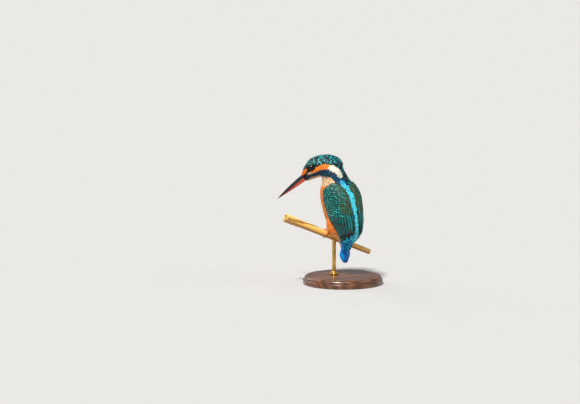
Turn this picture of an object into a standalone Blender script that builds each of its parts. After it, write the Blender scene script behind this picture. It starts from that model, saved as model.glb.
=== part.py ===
"""A common kingfisher (Alcedo atthis, a young female) looking down to its left from a sloping dry reed.

Life size, in metres, +Z up. The bird's breast faces -Y and its left wing is at +X. The origin is the
middle of the stand's underside. Sections and places are written in millimetres and scaled by MM.
The solids reach out to the tips of the feathers.
"""

import math

import bmesh
import bpy
from mathutils import Matrix, Vector

MM = 0.001
GAP = 0.3                       # clearance left between two solids that meet

# Stand and perch.
BASE_RADIUS, BASE_HEIGHT, BASE_BEVEL = 44.0, 9.0, 1.2
ROD_RADIUS, COLLAR_RADIUS, COLLAR_HEIGHT = 2.2, 5.5, 3.0
ROD_SINK = 3.2                  # how far the rod goes into the reed
ROD_PLACE = -8.5                # where it holds the reed, along it from its middle
PERCH_MIDDLE = Vector((10.7, -13.9, 53.4))
PERCH_LENGTH, PERCH_SLOPE, PERCH_TURN = 108.0, 23.5, 18.4
PERCH_RADII = (5.0, 3.3)        # high end, low end
PERCH_FLAT = 0.86               # height of the reed's section over its width
NODE_AT, NODE_SWELL = 0.70, 0.5  # the reed's joint: its place along the length, and its swelling

# Trunk: level sections from the neck down, as (z, x, y, half width, towards the back, towards the breast).
TRUNK = (
    (131.5, 5.4, -15.0, 7.0, 8.4, 7.0),
    (127.0, 4.6, -13.0, 11.4, 12.8, 11.4),
    (121.0, 3.6, -11.2, 13.4, 14.4, 13.6),
    (115.0, 1.8, -9.0, 14.8, 14.8, 15.8),
    (108.5, 0.6, -7.4, 17.4, 17.0, 19.6),
    (101.0, 0.0, -5.6, 19.6, 19.8, 23.2),
    (92.5, 0.0, -3.2, 19.6, 21.4, 25.0),
    (84.0, 0.0, -1.2, 18.4, 22.0, 25.4),
    (75.0, 0.0, 0.6, 16.8, 22.6, 24.8),
    (67.0, 0.0, 2.4, 14.6, 22.4, 23.2),
    (60.0, 0.0, 4.0, 12.4, 21.2, 19.8),
    (54.0, 0.0, 5.0, 10.4, 17.8, 14.6),
    (48.5, 0.0, 5.4, 8.6, 13.2, 9.6),
    (43.5, 0.0, 5.0, 6.6, 8.6, 6.6),
    (39.5, 0.0, 4.6, 4.4, 4.8, 4.2),
)
TRUNK_ROUND = (2.05, 2.4)       # superellipse exponents of the sections' back and breast halves

# Head: the bill's base, the way the head points, and sections going back from the bill's base,
# as (how far back, half width, top, bottom), with heights above the bill's axis.
BILL_BASE = Vector((26.2, -37.8, 114.7))
HEAD_TURN, HEAD_PITCH = 48.0, 39.0
HEAD = (
    (-0.6, 3.7, 3.6, -3.8),
    (3.0, 6.2, 6.0, -5.4),
    (8.5, 9.2, 9.2, -7.4),
    (15.0, 11.7, 11.6, -9.6),
    (21.5, 13.1, 12.0, -11.8),
    (28.0, 13.7, 10.2, -14.6),
    (34.0, 13.4, 7.0, -17.4),
    (39.0, 12.2, 3.2, -18.8),
    (42.8, 9.8, -1.2, -18.6),
    (45.4, 5.6, -6.4, -15.0),
)
HEAD_ROUND = 2.2
EYE_BACK, EYE_UP, EYE_OUT, EYE_RADIUS = 16.0, 3.9, 7.9, 4.0
HEAD_CUT_BACK = 36.0            # where the head is parted from the neck, from the bill's base
NECK_CUT_Z = 108.0
RUMP_CUT_Z = 56.5

# Bill: from its base, as (share of the length, half width, culmen height, keel depth).
BILL_LENGTH = 35.6
BILL = (
    (-0.064, 3.8, 4.3, -3.6),
    (0.0, 3.7, 4.25, -3.5),
    (0.12, 3.2, 4.1, -3.25),
    (0.3, 2.55, 3.7, -2.75),
    (0.5, 1.95, 3.05, -2.1),
    (0.7, 1.4, 2.2, -1.4),
    (0.86, 0.85, 1.3, -0.75),
    (0.96, 0.42, 0.58, -0.35),
    (1.0, 0.22, 0.25, -0.2),
)
TOMIUM_GAP = 0.15               # half the slit between the two halves of the bill

# Wings: closed shells over the trunk, as (z, upper edge, lower edge, thickness). The edges are angles in
# degrees round the trunk, from the middle of the back towards the breast.
WING = (
    (112.0, 34.0, 74.0, 0.6),
    (109.0, 21.0, 90.0, 1.4),
    (103.0, 15.0, 97.0, 1.9),
    (95.0, 13.0, 100.0, 2.0),
    (86.0, 12.5, 100.0, 1.9),
    (76.0, 13.0, 97.0, 1.9),
    (66.0, 16.0, 93.0, 1.8),
    (58.0, 25.0, 90.0, 1.7),
    (51.0, 42.0, 88.0, 1.5),
    (47.0, 54.0, 83.0, 1.2),
    (44.6, 62.0, 74.0, 0.8),
)
WING_LIFT = 0.45                # gap between the wing's inside and the trunk's section
WING_RIM = 0.35                 # thickness of the wing at its edges, before its rise

# Tail: a folded fan, roof shaped, from the root down, as (z, y, half width, ridge height).
TAIL = (
    (50.0, 5.0, 6.2, 1.2),
    (44.0, 4.6, 7.8, 1.6),
    (38.0, 4.3, 7.3, 1.7),
    (33.0, 4.1, 6.3, 1.6),
    (28.5, 4.0, 4.9, 1.3),
    (25.0, 3.9, 3.4, 1.0),
    (22.8, 3.9, 1.8, 0.6),
)
TAIL_THICK = 0.75               # half the thickness of the folded feathers

# Legs: where each foot stands along the reed, from its middle, and the thigh above it with its feathers
# puffed out.
FEET = {"left": 2.6, "right": -19.4}
THIGH_MIDDLES = {"left": Vector((8.8, -3.0, 66.0)), "right": Vector((-8.8, -3.0, 63.0))}
THIGH_RADII = (8.4, 12.5, 14.5)
TARSUS_RADIUS, TOE_RADIUS, CLAW_RADIUS = 1.25, 1.0, 0.62
# Toes: name, offset along the reed at the root and at the tip, first and last angle round the reed.
TOES = (
    ("inner", 0.9, 2.9, 14.0, 112.0),
    ("middle", 0.0, 0.1, 14.0, 142.0),
    ("outer", -0.9, -2.3, 14.0, 128.0),
    ("hind", 0.2, 0.5, -14.0, -96.0),
)
CLAW_ANGLE = 26.0               # how far a claw reaches on round the reed past its toe
ANKLE_ANGLE, ANKLE_LIFT = -8.0, 0.4

# How forms are fused into one skin: voxel size, passes of smoothing, share of the faces kept.
FLESH_MESHING = (1.1, 14, 0.048)
FOOT_MESHING = (0.4, 2, 0.1)

COLOURS = {
    "crown": ((0.010, 0.060, 0.075), 0.45),
    "nape": ((0.012, 0.070, 0.085), 0.45),
    "body": ((0.62, 0.24, 0.05), 0.6),
    "rump": ((0.02, 0.42, 0.60), 0.4),
    "wing": ((0.0, 0.20, 0.19), 0.4),
    "tail": ((0.0, 0.12, 0.42), 0.4),
    "bill_black": ((0.012, 0.012, 0.016), 0.3),
    "bill_red": ((0.55, 0.09, 0.02), 0.35),
    "eye": ((0.010, 0.006, 0.005), 0.08),
    "foot": ((0.62, 0.09, 0.035), 0.45),
    "claw": ((0.02, 0.015, 0.012), 0.35),
    "reed": ((0.62, 0.38, 0.14), 0.6),
    "stand_wood": ((0.10, 0.055, 0.03), 0.5),
    "stand_brass": ((0.62, 0.45, 0.20), 0.3),
}
METALS = {"stand_brass"}


# ---------------------------------------------------------------- scene and mesh helpers

def clear_scene():
    for obj in list(bpy.data.objects):
        bpy.data.objects.remove(obj)


def collection(name):
    made = bpy.data.collections.new(name)
    bpy.context.scene.collection.children.link(made)
    return made


def finish_of(slot):
    """The material of that name, made once."""
    found = bpy.data.materials.get(slot)
    if found:
        return found
    colour, rough = COLOURS[slot]
    made = bpy.data.materials.new(slot)
    made.use_nodes = True
    shader = made.node_tree.nodes["Principled BSDF"]
    shader.inputs["Base Color"].default_value = (*colour, 1.0)
    shader.inputs["Roughness"].default_value = rough
    shader.inputs["Metallic"].default_value = 1.0 if slot in METALS else 0.0
    return made


def add_object(name, mesh, slot=None, group=None):
    obj = bpy.data.objects.new(name, mesh)
    (group or PIECES).objects.link(obj)
    if slot:
        obj["slot"] = slot
        painted(obj)
    return obj


def painted(obj):
    """Gives the object its own finish, and drops those that a cutter brought."""
    obj.data.materials.clear()
    obj.data.materials.append(finish_of(obj["slot"]))


def helper(name, mesh):
    """An object that shapes others and isn't a piece itself."""
    obj = add_object(name, mesh, group=CUTTERS)
    obj.hide_render = True
    obj.display_type = "WIRE"
    return obj


def mesh_from(name, build):
    """A mesh whose bmesh is filled by build, with its faces turned outwards."""
    bm = bmesh.new()
    build(bm)
    bmesh.ops.recalc_face_normals(bm, faces=bm.faces)
    mesh = bpy.data.meshes.new(name)
    bm.to_mesh(mesh)
    bm.free()
    return mesh


def baked(obj):
    """The object's evaluated mesh, as a mesh of its own."""
    bpy.context.view_layer.update()
    graph = bpy.context.evaluated_depsgraph_get()
    return bpy.data.meshes.new_from_object(obj.evaluated_get(graph))


def carve(names, *tools):
    """Cuts each named piece by each tool, and keeps its largest body."""
    for name in names:
        obj = bpy.data.objects[name]
        for tool in tools:
            step = obj.modifiers.new("cut", "BOOLEAN")
            step.operation = "DIFFERENCE"
            step.object = tool
            done = baked(obj)
            obj.modifiers.clear()
            obj.data = done
        largest_body(obj.data)
        painted(obj)


def bridge(bm, rings):
    """Skins closed rings of the same count of points, and caps both ends."""
    loops = [[bm.verts.new(point) for point in ring] for ring in rings]
    count = len(loops[0])
    for lower, upper in zip(loops, loops[1:]):
        for k in range(count):
            n = (k + 1) % count
            bm.faces.new((lower[k], lower[n], upper[n], upper[k]))
    bm.faces.new(loops[0])
    bm.faces.new(loops[-1])


def spline(rows, at):
    """Row of values at the place `at` of the first column, on a Catmull-Rom curve through the rows."""
    rows = sorted(rows)
    at = min(max(at, rows[0][0]), rows[-1][0])
    last = next((i for i, row in enumerate(rows) if row[0] >= at), len(rows) - 1)
    i = max(1, last)
    a, b = rows[i - 1], rows[i]
    before, after = rows[max(0, i - 2)], rows[min(len(rows) - 1, i + 1)]
    t = (at - a[0]) / (b[0] - a[0])
    span = b[0] - a[0]
    out = []
    for k in range(1, len(a)):
        slope_a = (b[k] - before[k]) / (b[0] - before[0]) * span
        slope_b = (after[k] - a[k]) / (after[0] - a[0]) * span
        out.append(
            a[k] * (2 * t**3 - 3 * t**2 + 1) + slope_a * (t**3 - 2 * t**2 + t)
            + b[k] * (3 * t**2 - 2 * t**3) + slope_b * (t**3 - t**2)
        )
    return out


def steps(first, last, count):
    return [first + (last - first) * i / (count - 1) for i in range(count)]


def power(value, exponent):
    return math.copysign(abs(value) ** exponent, value)


# ---------------------------------------------------------------- trunk, neck and head

def trunk_point(z, angle, out=0.0):
    """Point of the trunk's section at height z, turned by angle from the back to the left, moved out."""
    x, y, half, back, front = spline(TRUNK, z)
    c, s = math.cos(math.radians(angle)), math.sin(math.radians(angle))
    deep, bulge = (back, TRUNK_ROUND[0]) if c >= 0 else (front, TRUNK_ROUND[1])
    side, along = power(s, 2 / bulge) * half, power(c, 2 / bulge) * deep
    away = Vector((side / half**2, along / deep**2, 0)).normalized()
    return Vector((x + side, y + along, z)) + away * out


def trunk_mesh():
    levels = steps(TRUNK[-1][0], TRUNK[0][0], 40)
    rings = [[trunk_point(z, 360 * k / 36) * MM for k in range(36)] for z in levels]
    return mesh_from("trunk_form", lambda bm: bridge(bm, rings))


def head_axes():
    """The head's forward, left and up directions."""
    turn, pitch = math.radians(HEAD_TURN), math.radians(HEAD_PITCH)
    level = Vector((math.sin(turn), -math.cos(turn), 0))
    forward = level * math.cos(pitch) - Vector((0, 0, 1)) * math.sin(pitch)
    up = level * math.sin(pitch) + Vector((0, 0, 1)) * math.cos(pitch)
    return forward, up.cross(forward), up


def on_head(ahead, left, up):
    """Point at these distances ahead of, left of and above the bill's base."""
    forward_axis, left_axis, up_axis = head_axes()
    return BILL_BASE + forward_axis * ahead + left_axis * left + up_axis * up


def head_mesh():
    rings = []
    for back in steps(HEAD[0][0], HEAD[-1][0], 26):
        half, top, bottom = spline(HEAD, back)
        middle, tall = (top + bottom) / 2, (top - bottom) / 2
        ring = []
        for k in range(32):
            a = math.tau * k / 32
            side = power(math.cos(a), 2 / HEAD_ROUND) * half
            rise = middle + power(math.sin(a), 2 / HEAD_ROUND) * tall
            ring.append(on_head(-back, side, rise) * MM)
        rings.append(ring)
    return mesh_from("head_form", lambda bm: bridge(bm, rings))


def fused(name, forms, meshing):
    """One closed skin round all the forms, smoothed and thinned out."""
    voxel, softness, share = meshing

    def all_forms(bm):
        for mesh in forms:
            bm.from_mesh(mesh)

    form = helper(name, mesh_from(name, all_forms))
    fuse = form.modifiers.new("fuse", "REMESH")
    fuse.mode = "VOXEL"
    fuse.voxel_size = voxel * MM
    soften = form.modifiers.new("soften", "SMOOTH")
    soften.factor, soften.iterations = 0.5, softness
    thin = form.modifiers.new("thin", "DECIMATE")
    thin.ratio = share
    return baked(form)


def flesh():
    """Trunk, neck and head as one smooth closed form."""
    return fused("flesh_form", (trunk_mesh(), head_mesh()), FLESH_MESHING)


def block(name, centre, normal, size=120.0):
    """A large cube on the side of the plane that normal points to, from half a gap before the plane."""
    middle = centre + normal * (size / 2 - GAP / 2)
    turn = normal.to_track_quat("Z", "Y").to_matrix().to_4x4()

    def build(bm):
        bmesh.ops.create_cube(bm, size=size * MM, matrix=Matrix.Translation(middle * MM) @ turn)

    return helper(name, mesh_from(name, build))


def ball(name, centre, radius):
    def build(bm):
        bmesh.ops.create_uvsphere(bm, u_segments=16, v_segments=9, radius=radius * MM)
        bmesh.ops.translate(bm, verts=bm.verts, vec=centre * MM)

    return mesh_from(name, build)


def inflated(name, mesh, by):
    """A helper of the mesh's shape, grown by that much all round."""
    obj = helper(name, mesh.copy())
    grow = obj.modifiers.new("grow", "DISPLACE")
    grow.mid_level, grow.strength = 0.0, by * MM
    done = baked(obj)
    obj.modifiers.clear()
    obj.data = done
    return obj


def largest_body(mesh):
    """The mesh without the crumbs that a cut leaves."""
    bm = bmesh.new()
    bm.from_mesh(mesh)
    left, groups = set(bm.verts), []
    while left:
        todo, group = [left.pop()], set()
        while todo:
            vert = todo.pop()
            group.add(vert)
            for edge in vert.link_edges:
                other = edge.other_vert(vert)
                if other in left:
                    left.remove(other)
                    todo.append(other)
        groups.append(group)
    groups.sort(key=lambda group: sum(face.calc_area() for vert in group for face in vert.link_faces))
    crumbs = [vert for group in groups[:-1] for vert in group]
    bmesh.ops.delete(bm, geom=crumbs, context="VERTS")
    bm.to_mesh(mesh)
    bm.free()
    return mesh


def part_flesh(form):
    """Head, neck, trunk and rump, parted from the one form by thin cuts."""
    forward, _, _ = head_axes()
    head_at = on_head(-HEAD_CUT_BACK, 0, -6)
    head_way = (-forward + Vector((0, 0, -0.85))).normalized()
    neck_at, rump_at = Vector((0, 0, NECK_CUT_Z)), Vector((0, 0, RUMP_CUT_Z))
    up = Vector((0, 0, 1))
    beyond_head = block("beyond_head", head_at, head_way)
    before_head = block("before_head", head_at, -head_way)
    above_neck = block("above_neck", neck_at, up)
    below_neck = block("below_neck", neck_at, -up)
    above_rump = block("above_rump", rump_at, up)
    below_rump = block("below_rump", rump_at, -up)
    for name, slot, tools in (
        ("head", "crown", (beyond_head, below_neck)),
        ("neck", "nape", (before_head, below_neck)),
        ("trunk", "body", (above_neck, below_rump)),
        ("rump", "rump", (above_rump,)),
    ):
        add_object(name, form.copy(), slot)
        carve((name,), *tools)


def eyes():
    """Both eyes, and their sockets in the head."""
    for side, sign in (("left", 1), ("right", -1)):
        place = on_head(-EYE_BACK, sign * EYE_OUT, EYE_UP)
        add_object("eye_" + side, ball("eye_" + side, place, EYE_RADIUS), "eye")
        carve(("head",), helper("socket_" + side, ball("socket_" + side, place, EYE_RADIUS + GAP)))


def bill():
    """Upper and lower halves of the bill, and the seat for them in the head."""
    def half(upper, grow=0.0):
        rings = []
        for share in steps(BILL[0][0], 1.0, 14):
            wide, top, bottom = spline(BILL, share)
            rise = top if upper else -bottom
            ring = []
            for k in range(11):
                a = math.pi * k / 10
                side = math.cos(a) * (wide + grow)
                high = TOMIUM_GAP - grow + math.sin(a) ** 1.15 * (rise + 2 * grow - TOMIUM_GAP)
                ring.append(on_head(share * BILL_LENGTH, side, high if upper else -high) * MM)
            rings.append(ring)
        return rings

    for name, slot, upper in (("bill_upper", "bill_black", True), ("bill_lower", "bill_red", False)):
        rings = half(upper)
        add_object(name, mesh_from(name, lambda bm: bridge(bm, rings)), slot)
        seat = half(upper, GAP)
        seat.insert(0, [point - head_axes()[0] * GAP * MM for point in seat[0]])
        carve(("head",), helper(name + "_seat", mesh_from(name + "_seat", lambda bm: bridge(bm, seat))))


# ---------------------------------------------------------------- wings and tail

def wings():
    """Folded wings, one a mirror of the other, each a shell over the trunk's side."""
    for side, sign in (("left", 1), ("right", -1)):
        rings = []
        for z in steps(WING[-1][0], WING[0][0], 20):
            first, last, thick = spline(WING, z)
            outer, inner = [], []
            for k in range(10):
                share = k / 9
                angle = first + (last - first) * share
                crown = math.sin(math.pi * (0.06 + 0.88 * share)) ** 0.45
                full = WING_LIFT + WING_RIM + thick * crown
                outer.append(trunk_point(z, angle, full))
                inner.append(trunk_point(z, angle, WING_LIFT))
            ring = outer + inner[::-1]
            x_mid = spline(TRUNK, z)[0]
            rings.append([Vector((x_mid + sign * (p.x - x_mid), p.y, p.z)) * MM for p in ring])
        wing = add_object("wing_" + side, mesh_from("wing_" + side, lambda bm: bridge(bm, rings)), "wing")
        carve(("neck", "trunk", "rump"), inflated("wing_room_" + side, wing.data, 1.2 * GAP))


def tail():
    """The folded tail, and its seat in the rump."""
    def fan(grow):
        rings = []
        for z in steps(TAIL[-1][0] - grow, TAIL[0][0] + grow, 14):
            y, half, ridge = spline(TAIL, z)
            thick = TAIL_THICK + grow
            roof = [Vector((t * (half + grow), y + ridge * (1 - abs(t)), z)) for t in steps(-1.0, 1.0, 7)]
            top = [point + Vector((0, thick, 0)) for point in roof]
            low = [point - Vector((0, thick, 0)) for point in roof]
            rings.append([point * MM for point in top + low[::-1]])
        return rings

    rings, seat = fan(0.0), fan(GAP)
    add_object("tail", mesh_from("tail", lambda bm: bridge(bm, rings)), "tail")
    carve(("rump",), helper("tail_seat", mesh_from("tail_seat", lambda bm: bridge(bm, seat))))


# ---------------------------------------------------------------- perch, legs and stand

def perch_axes():
    """The reed's direction towards the bird's left, its side towards the front, and its upper side."""
    turn, slope = math.radians(PERCH_TURN), math.radians(PERCH_SLOPE)
    along = Vector((math.cos(turn) * math.cos(slope), -math.sin(turn) * math.cos(slope), math.sin(slope)))
    front = along.cross(Vector((0, 0, 1))).normalized()
    if front.y > 0:
        front = -front
    above = along.cross(front)
    return along, front, above if above.z > 0 else -above


def perch_radius(place):
    """Half the reed's width at that distance from its middle."""
    share = 0.5 - place / PERCH_LENGTH
    smooth = PERCH_RADII[0] + (PERCH_RADII[1] - PERCH_RADII[0]) * share
    return smooth + NODE_SWELL * math.exp(-(((share - NODE_AT) / 0.018) ** 2))


def on_perch(place, angle, out):
    """Point round the reed: angle 0 is its top, and it turns towards the bird's front."""
    along, front, above = perch_axes()
    a = math.radians(angle)
    radius = perch_radius(place)
    across = front * math.sin(a) * (radius + out)
    return PERCH_MIDDLE + along * place + across + above * math.cos(a) * (radius * PERCH_FLAT + out)


def perch():
    rings = []
    for place in steps(-PERCH_LENGTH / 2, PERCH_LENGTH / 2, 21):
        rings.append([on_perch(place, 360 * k / 12, 0) * MM for k in range(12)])
    add_object("perch", mesh_from("perch", lambda bm: bridge(bm, rings)), "reed")


def tube(name, points, radii, side, sides=7):
    """A closed tube through the points, its radius given at each. Side is a direction across the path."""
    rings = []
    for i, point in enumerate(points):
        way = (points[min(i + 1, len(points) - 1)] - points[max(i - 1, 0)]).normalized()
        across = (side - way * side.dot(way)).normalized()
        other = way.cross(across)
        ring = []
        for k in range(sides):
            a = math.tau * k / sides
            ring.append((point + (across * math.cos(a) + other * math.sin(a)) * radii[i]) * MM)
        rings.append(ring)
    return mesh_from(name, lambda bm: bridge(bm, rings))


def toe_path(place, toe, first, last, count):
    """Points of a toe's middle line round the reed, between two shares of its sweep."""
    _, root, tip, start, end = toe
    points = []
    for share in steps(first, last, count):
        angle = start + (end - start) * share
        points.append(on_perch(place + root + (tip - root) * share, angle, GAP + TOE_RADIUS))
    return points


def thighs():
    """Each thigh, an egg of feathers sunk in the body, behind the reed and inside the wing's edge."""
    reed_room = inflated("reed_room", bpy.data.objects["perch"].data, GAP)
    for side, middle in THIGH_MIDDLES.items():
        thigh = add_object("thigh_" + side, ball("thigh_" + side, Vector(), 1.0), "body")
        thigh.data.transform(Matrix.Translation(middle * MM) @ Matrix.Diagonal((*THIGH_RADII, 1.0)))
        carve(("trunk", "rump"), inflated("thigh_room_" + side, thigh.data, GAP))
        carve((thigh.name,), reed_room, bpy.data.objects["wing_room_" + side])


def claw(name, place, toe):
    """A claw that goes on round the reed from just past its toe's tip."""
    sweep = abs(toe[4] - toe[3])
    start = 1.0 + 1.1 * GAP / (math.radians(sweep) * (perch_radius(place) + TOE_RADIUS))
    path = toe_path(place, toe, start, start + CLAW_ANGLE / sweep, 4)
    radii = [CLAW_RADIUS * (1.0 - 0.8 * (i / 3) ** 1.3) for i in range(4)]
    add_object(name, tube("claw", path, radii, perch_axes()[0], 6), "claw")


def legs():
    """Each leg below the feathers: a shank and four toes gripping the reed, and four claws."""
    along, _, above = perch_axes()
    for side, place in FEET.items():
        ankle = on_perch(place, ANKLE_ANGLE, GAP + TOE_RADIUS + ANKLE_LIFT)
        knee = ankle.lerp(THIGH_MIDDLES[side], 0.5)
        path = [ankle - above * ANKLE_LIFT, ankle.lerp(knee, 0.5), knee]
        forms = [tube("shank", path, [1.15 * TARSUS_RADIUS, TARSUS_RADIUS, TARSUS_RADIUS], along)]
        for toe in TOES:
            points = toe_path(place, toe, 0.0, 1.0, 9)
            points[0] = points[0].lerp(ankle, 0.5)
            radii = [TOE_RADIUS * thickness for thickness in steps(1.1, 0.75, 9)]
            forms.append(tube("toe_form", points, radii, along))
            claw(f"claw_{side}_{toe[0]}", place, toe)
        foot = add_object("foot_" + side, fused("foot_form_" + side, forms, FOOT_MESHING), "foot")
        carve(("thigh_" + side, "trunk", "rump"), inflated("foot_room_" + side, foot.data, 1.4 * GAP))


def turned(name, profile, slot, sides=16):
    """A solid of revolution round Z. The profile is (radius, height) points, down its outer side."""
    bm = bmesh.new()
    verts = [bm.verts.new(Vector((radius, 0, z)) * MM) for radius, z in profile]
    for a, b in zip(verts, verts[1:]):
        bm.edges.new((a, b))
    mesh = bpy.data.meshes.new(name)
    bm.to_mesh(mesh)
    bm.free()
    obj = add_object(name, mesh, slot)
    spin = obj.modifiers.new("spin", "SCREW")
    spin.steps = spin.render_steps = sides
    spin.use_merge_vertices, spin.merge_threshold = True, 0.00001
    return obj


def rod_profile(low, high, radius):
    return (0.0, high), (radius, high), (radius, low), (0.0, low)


def stand():
    """A round wooden base with a brass rod and collar that hold the reed."""
    radius, high, edge = BASE_RADIUS, BASE_HEIGHT, BASE_BEVEL
    turned("stand_base", (
        (0.0, high), (radius - edge, high), (radius - 0.3 * edge, high - 0.3 * edge), (radius, high - edge),
        (radius, edge * 0.5), (radius - edge * 0.5, 0.0), (0.0, 0.0),
    ), "stand_wood", 40)

    _, _, above = perch_axes()
    half_reed = perch_radius(ROD_PLACE) * PERCH_FLAT
    middle = on_perch(ROD_PLACE, 0, 0) - above * half_reed
    rod_top = middle.z - half_reed / above.z + ROD_SINK
    collar = turned("stand_collar", (
        (0.0, COLLAR_HEIGHT), (COLLAR_RADIUS * 0.7, COLLAR_HEIGHT), (COLLAR_RADIUS, COLLAR_HEIGHT * 0.6),
        (COLLAR_RADIUS, 0.0), (0.0, 0.0),
    ), "stand_brass")
    collar.location = Vector((middle.x, middle.y, BASE_HEIGHT + GAP)) * MM
    rod_foot = BASE_HEIGHT + 2 * GAP + COLLAR_HEIGHT
    rod = turned("stand_rod", rod_profile(rod_foot, rod_top, ROD_RADIUS), "stand_brass")
    hole = turned("rod_hole", rod_profile(rod_foot, rod_top + GAP, ROD_RADIUS + GAP), "stand_brass")
    rod.location = hole.location = Vector((middle.x, middle.y, 0)) * MM
    bpy.context.view_layer.update()
    bore = helper("rod_bore", baked(hole))
    bore.matrix_world = hole.matrix_world.copy()
    bpy.data.objects.remove(hole)
    bpy.context.view_layer.update()
    carve(("perch",), bore)


clear_scene()
PIECES = collection("kingfisher")
CUTTERS = collection("cutters")
part_flesh(flesh())
eyes()
bill()
wings()
tail()
perch()
thighs()
legs()
stand()
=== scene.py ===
"""The looks of the kingfisher on its reed and display stand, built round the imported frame.

Shapes are worked out in millimetres in the frame's own axes: +Z up, the breast towards -Y, the left wing at
+X. Head places are given as (back, left, up) from the bill's base, along the head's own axes.
"""

import math

import bmesh
import bpy
import numpy as np
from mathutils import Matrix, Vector
from mathutils.bvhtree import BVHTree


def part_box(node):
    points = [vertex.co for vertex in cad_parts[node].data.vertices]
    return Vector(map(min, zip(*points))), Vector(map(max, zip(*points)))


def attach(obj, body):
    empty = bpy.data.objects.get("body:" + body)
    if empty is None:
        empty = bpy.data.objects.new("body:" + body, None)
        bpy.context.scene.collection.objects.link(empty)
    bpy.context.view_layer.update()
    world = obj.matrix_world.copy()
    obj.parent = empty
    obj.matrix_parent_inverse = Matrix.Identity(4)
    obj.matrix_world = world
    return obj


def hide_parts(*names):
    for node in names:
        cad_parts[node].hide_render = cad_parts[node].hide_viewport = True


MM = 0.001
DOWN = np.array((0.0, 0.0, -1.0))
random = np.random.default_rng(7)

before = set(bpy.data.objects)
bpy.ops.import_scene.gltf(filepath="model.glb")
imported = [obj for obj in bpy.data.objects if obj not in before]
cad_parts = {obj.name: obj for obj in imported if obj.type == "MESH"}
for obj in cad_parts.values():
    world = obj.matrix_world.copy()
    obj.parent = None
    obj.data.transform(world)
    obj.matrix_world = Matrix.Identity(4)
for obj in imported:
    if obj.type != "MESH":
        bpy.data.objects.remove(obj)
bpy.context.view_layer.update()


def read(items, key, width, kind=np.int32):
    """One property of a mesh's items, as rows of that width."""
    flat = np.empty(len(items) * width, kind)
    items.foreach_get(key, flat)
    return flat.reshape(-1, width)


def vertices(mesh):
    """A mesh's vertices in millimetres."""
    return read(mesh.vertices, "co", 3, np.float64) / MM


def node_points(name):
    return vertices(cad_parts[name].data)


def node_box(name):
    low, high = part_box(name)
    return np.array(low) / MM, np.array(high) / MM


def unit(vectors):
    return vectors / np.maximum(np.linalg.norm(vectors, axis=-1, keepdims=True), 1e-9)


def flattened(ways, normals):
    """Unit ways laid flat against the surface that has these normals."""
    return unit(ways - normals * (ways * normals).sum(1, keepdims=True))


def smooth(values, low, high):
    """0 below low, 1 above high, and an even turn between them."""
    t = np.clip((values - low) / (high - low), 0.0, 1.0)
    return t * t * (3 - 2 * t)


def flowing(x, rows):
    """Values at x of the smooth curve through rows of (x, value, ...), one column for each value."""
    rows = np.array(rows)
    knots, values = rows[:, 0], rows[:, 1:]
    slopes = np.gradient(values, knots, axis=0)
    k = np.clip(np.searchsorted(knots, x) - 1, 0, len(knots) - 2)
    span = (knots[k + 1] - knots[k])[:, None]
    t = ((x - knots[k]) / span[:, 0])[:, None]
    start, end = values[k], values[k + 1]
    rise = slopes[k] * span * t * (1 - t) ** 2 - slopes[k + 1] * span * t * t * (1 - t)
    return (start * (1 + 2 * t) * (1 - t) ** 2 + end * t * t * (3 - 2 * t) + rise).T


def srgb(red, green, blue):
    """A linear colour from display values of 0 to 255."""
    c = np.array((red, green, blue)) / 255
    return np.where(c <= 0.04045, c / 12.92, ((c + 0.055) / 1.055) ** 2.4)


def blended(t, first, last):
    """Colours from first to last as t goes from 0 to 1."""
    t = np.asarray(t)[..., None]
    return first * (1 - t) + last * t


def between(pair, share):
    return pair[0] + (pair[1] - pair[0]) * share


def circle(count):
    """Angles of even steps round a circle."""
    return np.arange(count) * math.tau / count


# ---- the head's axes and the body's

HEAD_TURN, HEAD_PITCH = math.radians(48.0), math.radians(39.0)
LEVEL = np.array((math.sin(HEAD_TURN), -math.cos(HEAD_TURN), 0.0))
FORWARD = LEVEL * math.cos(HEAD_PITCH) + DOWN * math.sin(HEAD_PITCH)
UP = LEVEL * math.sin(HEAD_PITCH) - DOWN * math.cos(HEAD_PITCH)
LEFT = np.cross(UP, FORWARD)
EYE_AXES = {"left": LEFT, "right": -LEFT}
EYE_BACK, EYE_UP, EYE_RADIUS = 16.0, 3.9, 4.0
EYES = {side: sum(node_box("eye_" + side)) / 2 for side in ("left", "right")}
BILL_BASE = (EYES["left"] + EYES["right"]) / 2 + FORWARD * EYE_BACK - UP * EYE_UP

BODY_TOP, BODY_LOW = (112.0, -8.0), (50.0, 5.0)     # height and depth of the body's middle line
WING_LEVELS = np.linspace(111.0, 45.5, 23)


def head_place(points):
    """How far back, left and up from the bill's base."""
    away = points - BILL_BASE
    return -(away @ FORWARD), away @ LEFT, away @ UP


def from_head(forward, left, up):
    """Points from their distances ahead, left and above the bill's base."""
    ahead, aside, above = (np.multiply.outer(*pair) for pair in ((forward, FORWARD), (left, LEFT), (up, UP)))
    return BILL_BASE + ahead + aside + above


def beside_eye(points, side):
    """How far out from the eye's middle, and how far off its axis, points lie."""
    away = points - EYES[side]
    out = away @ EYE_AXES[side]
    return out, np.linalg.norm(away - out[:, None] * EYE_AXES[side], axis=1)


def body_middle(z):
    """Depth of the body's middle line at a height."""
    slope = (BODY_LOW[1] - BODY_TOP[1]) / (BODY_LOW[0] - BODY_TOP[0])
    return BODY_TOP[1] + (z - BODY_TOP[0]) * slope


def body_angle(points):
    """Turn round the body from the middle of the back, in degrees, positive to the left."""
    return np.degrees(np.arctan2(points[..., 0], points[..., 1] - body_middle(points[..., 2])))


def wing_edges():
    """Inner and outer edge of the folded wing at each level, as turns round the body."""
    points = node_points("wing_left")
    turn = body_angle(points)
    rows = []
    for z in WING_LEVELS:
        near = turn[np.abs(points[:, 2] - z) < 2.2]
        rows.append((near.min(), near.max()))
    return np.array(rows).T


WING_INNER, WING_OUTER = wing_edges()
WING_TOP, WING_TIP = WING_LEVELS[0], WING_LEVELS[-1]


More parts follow.
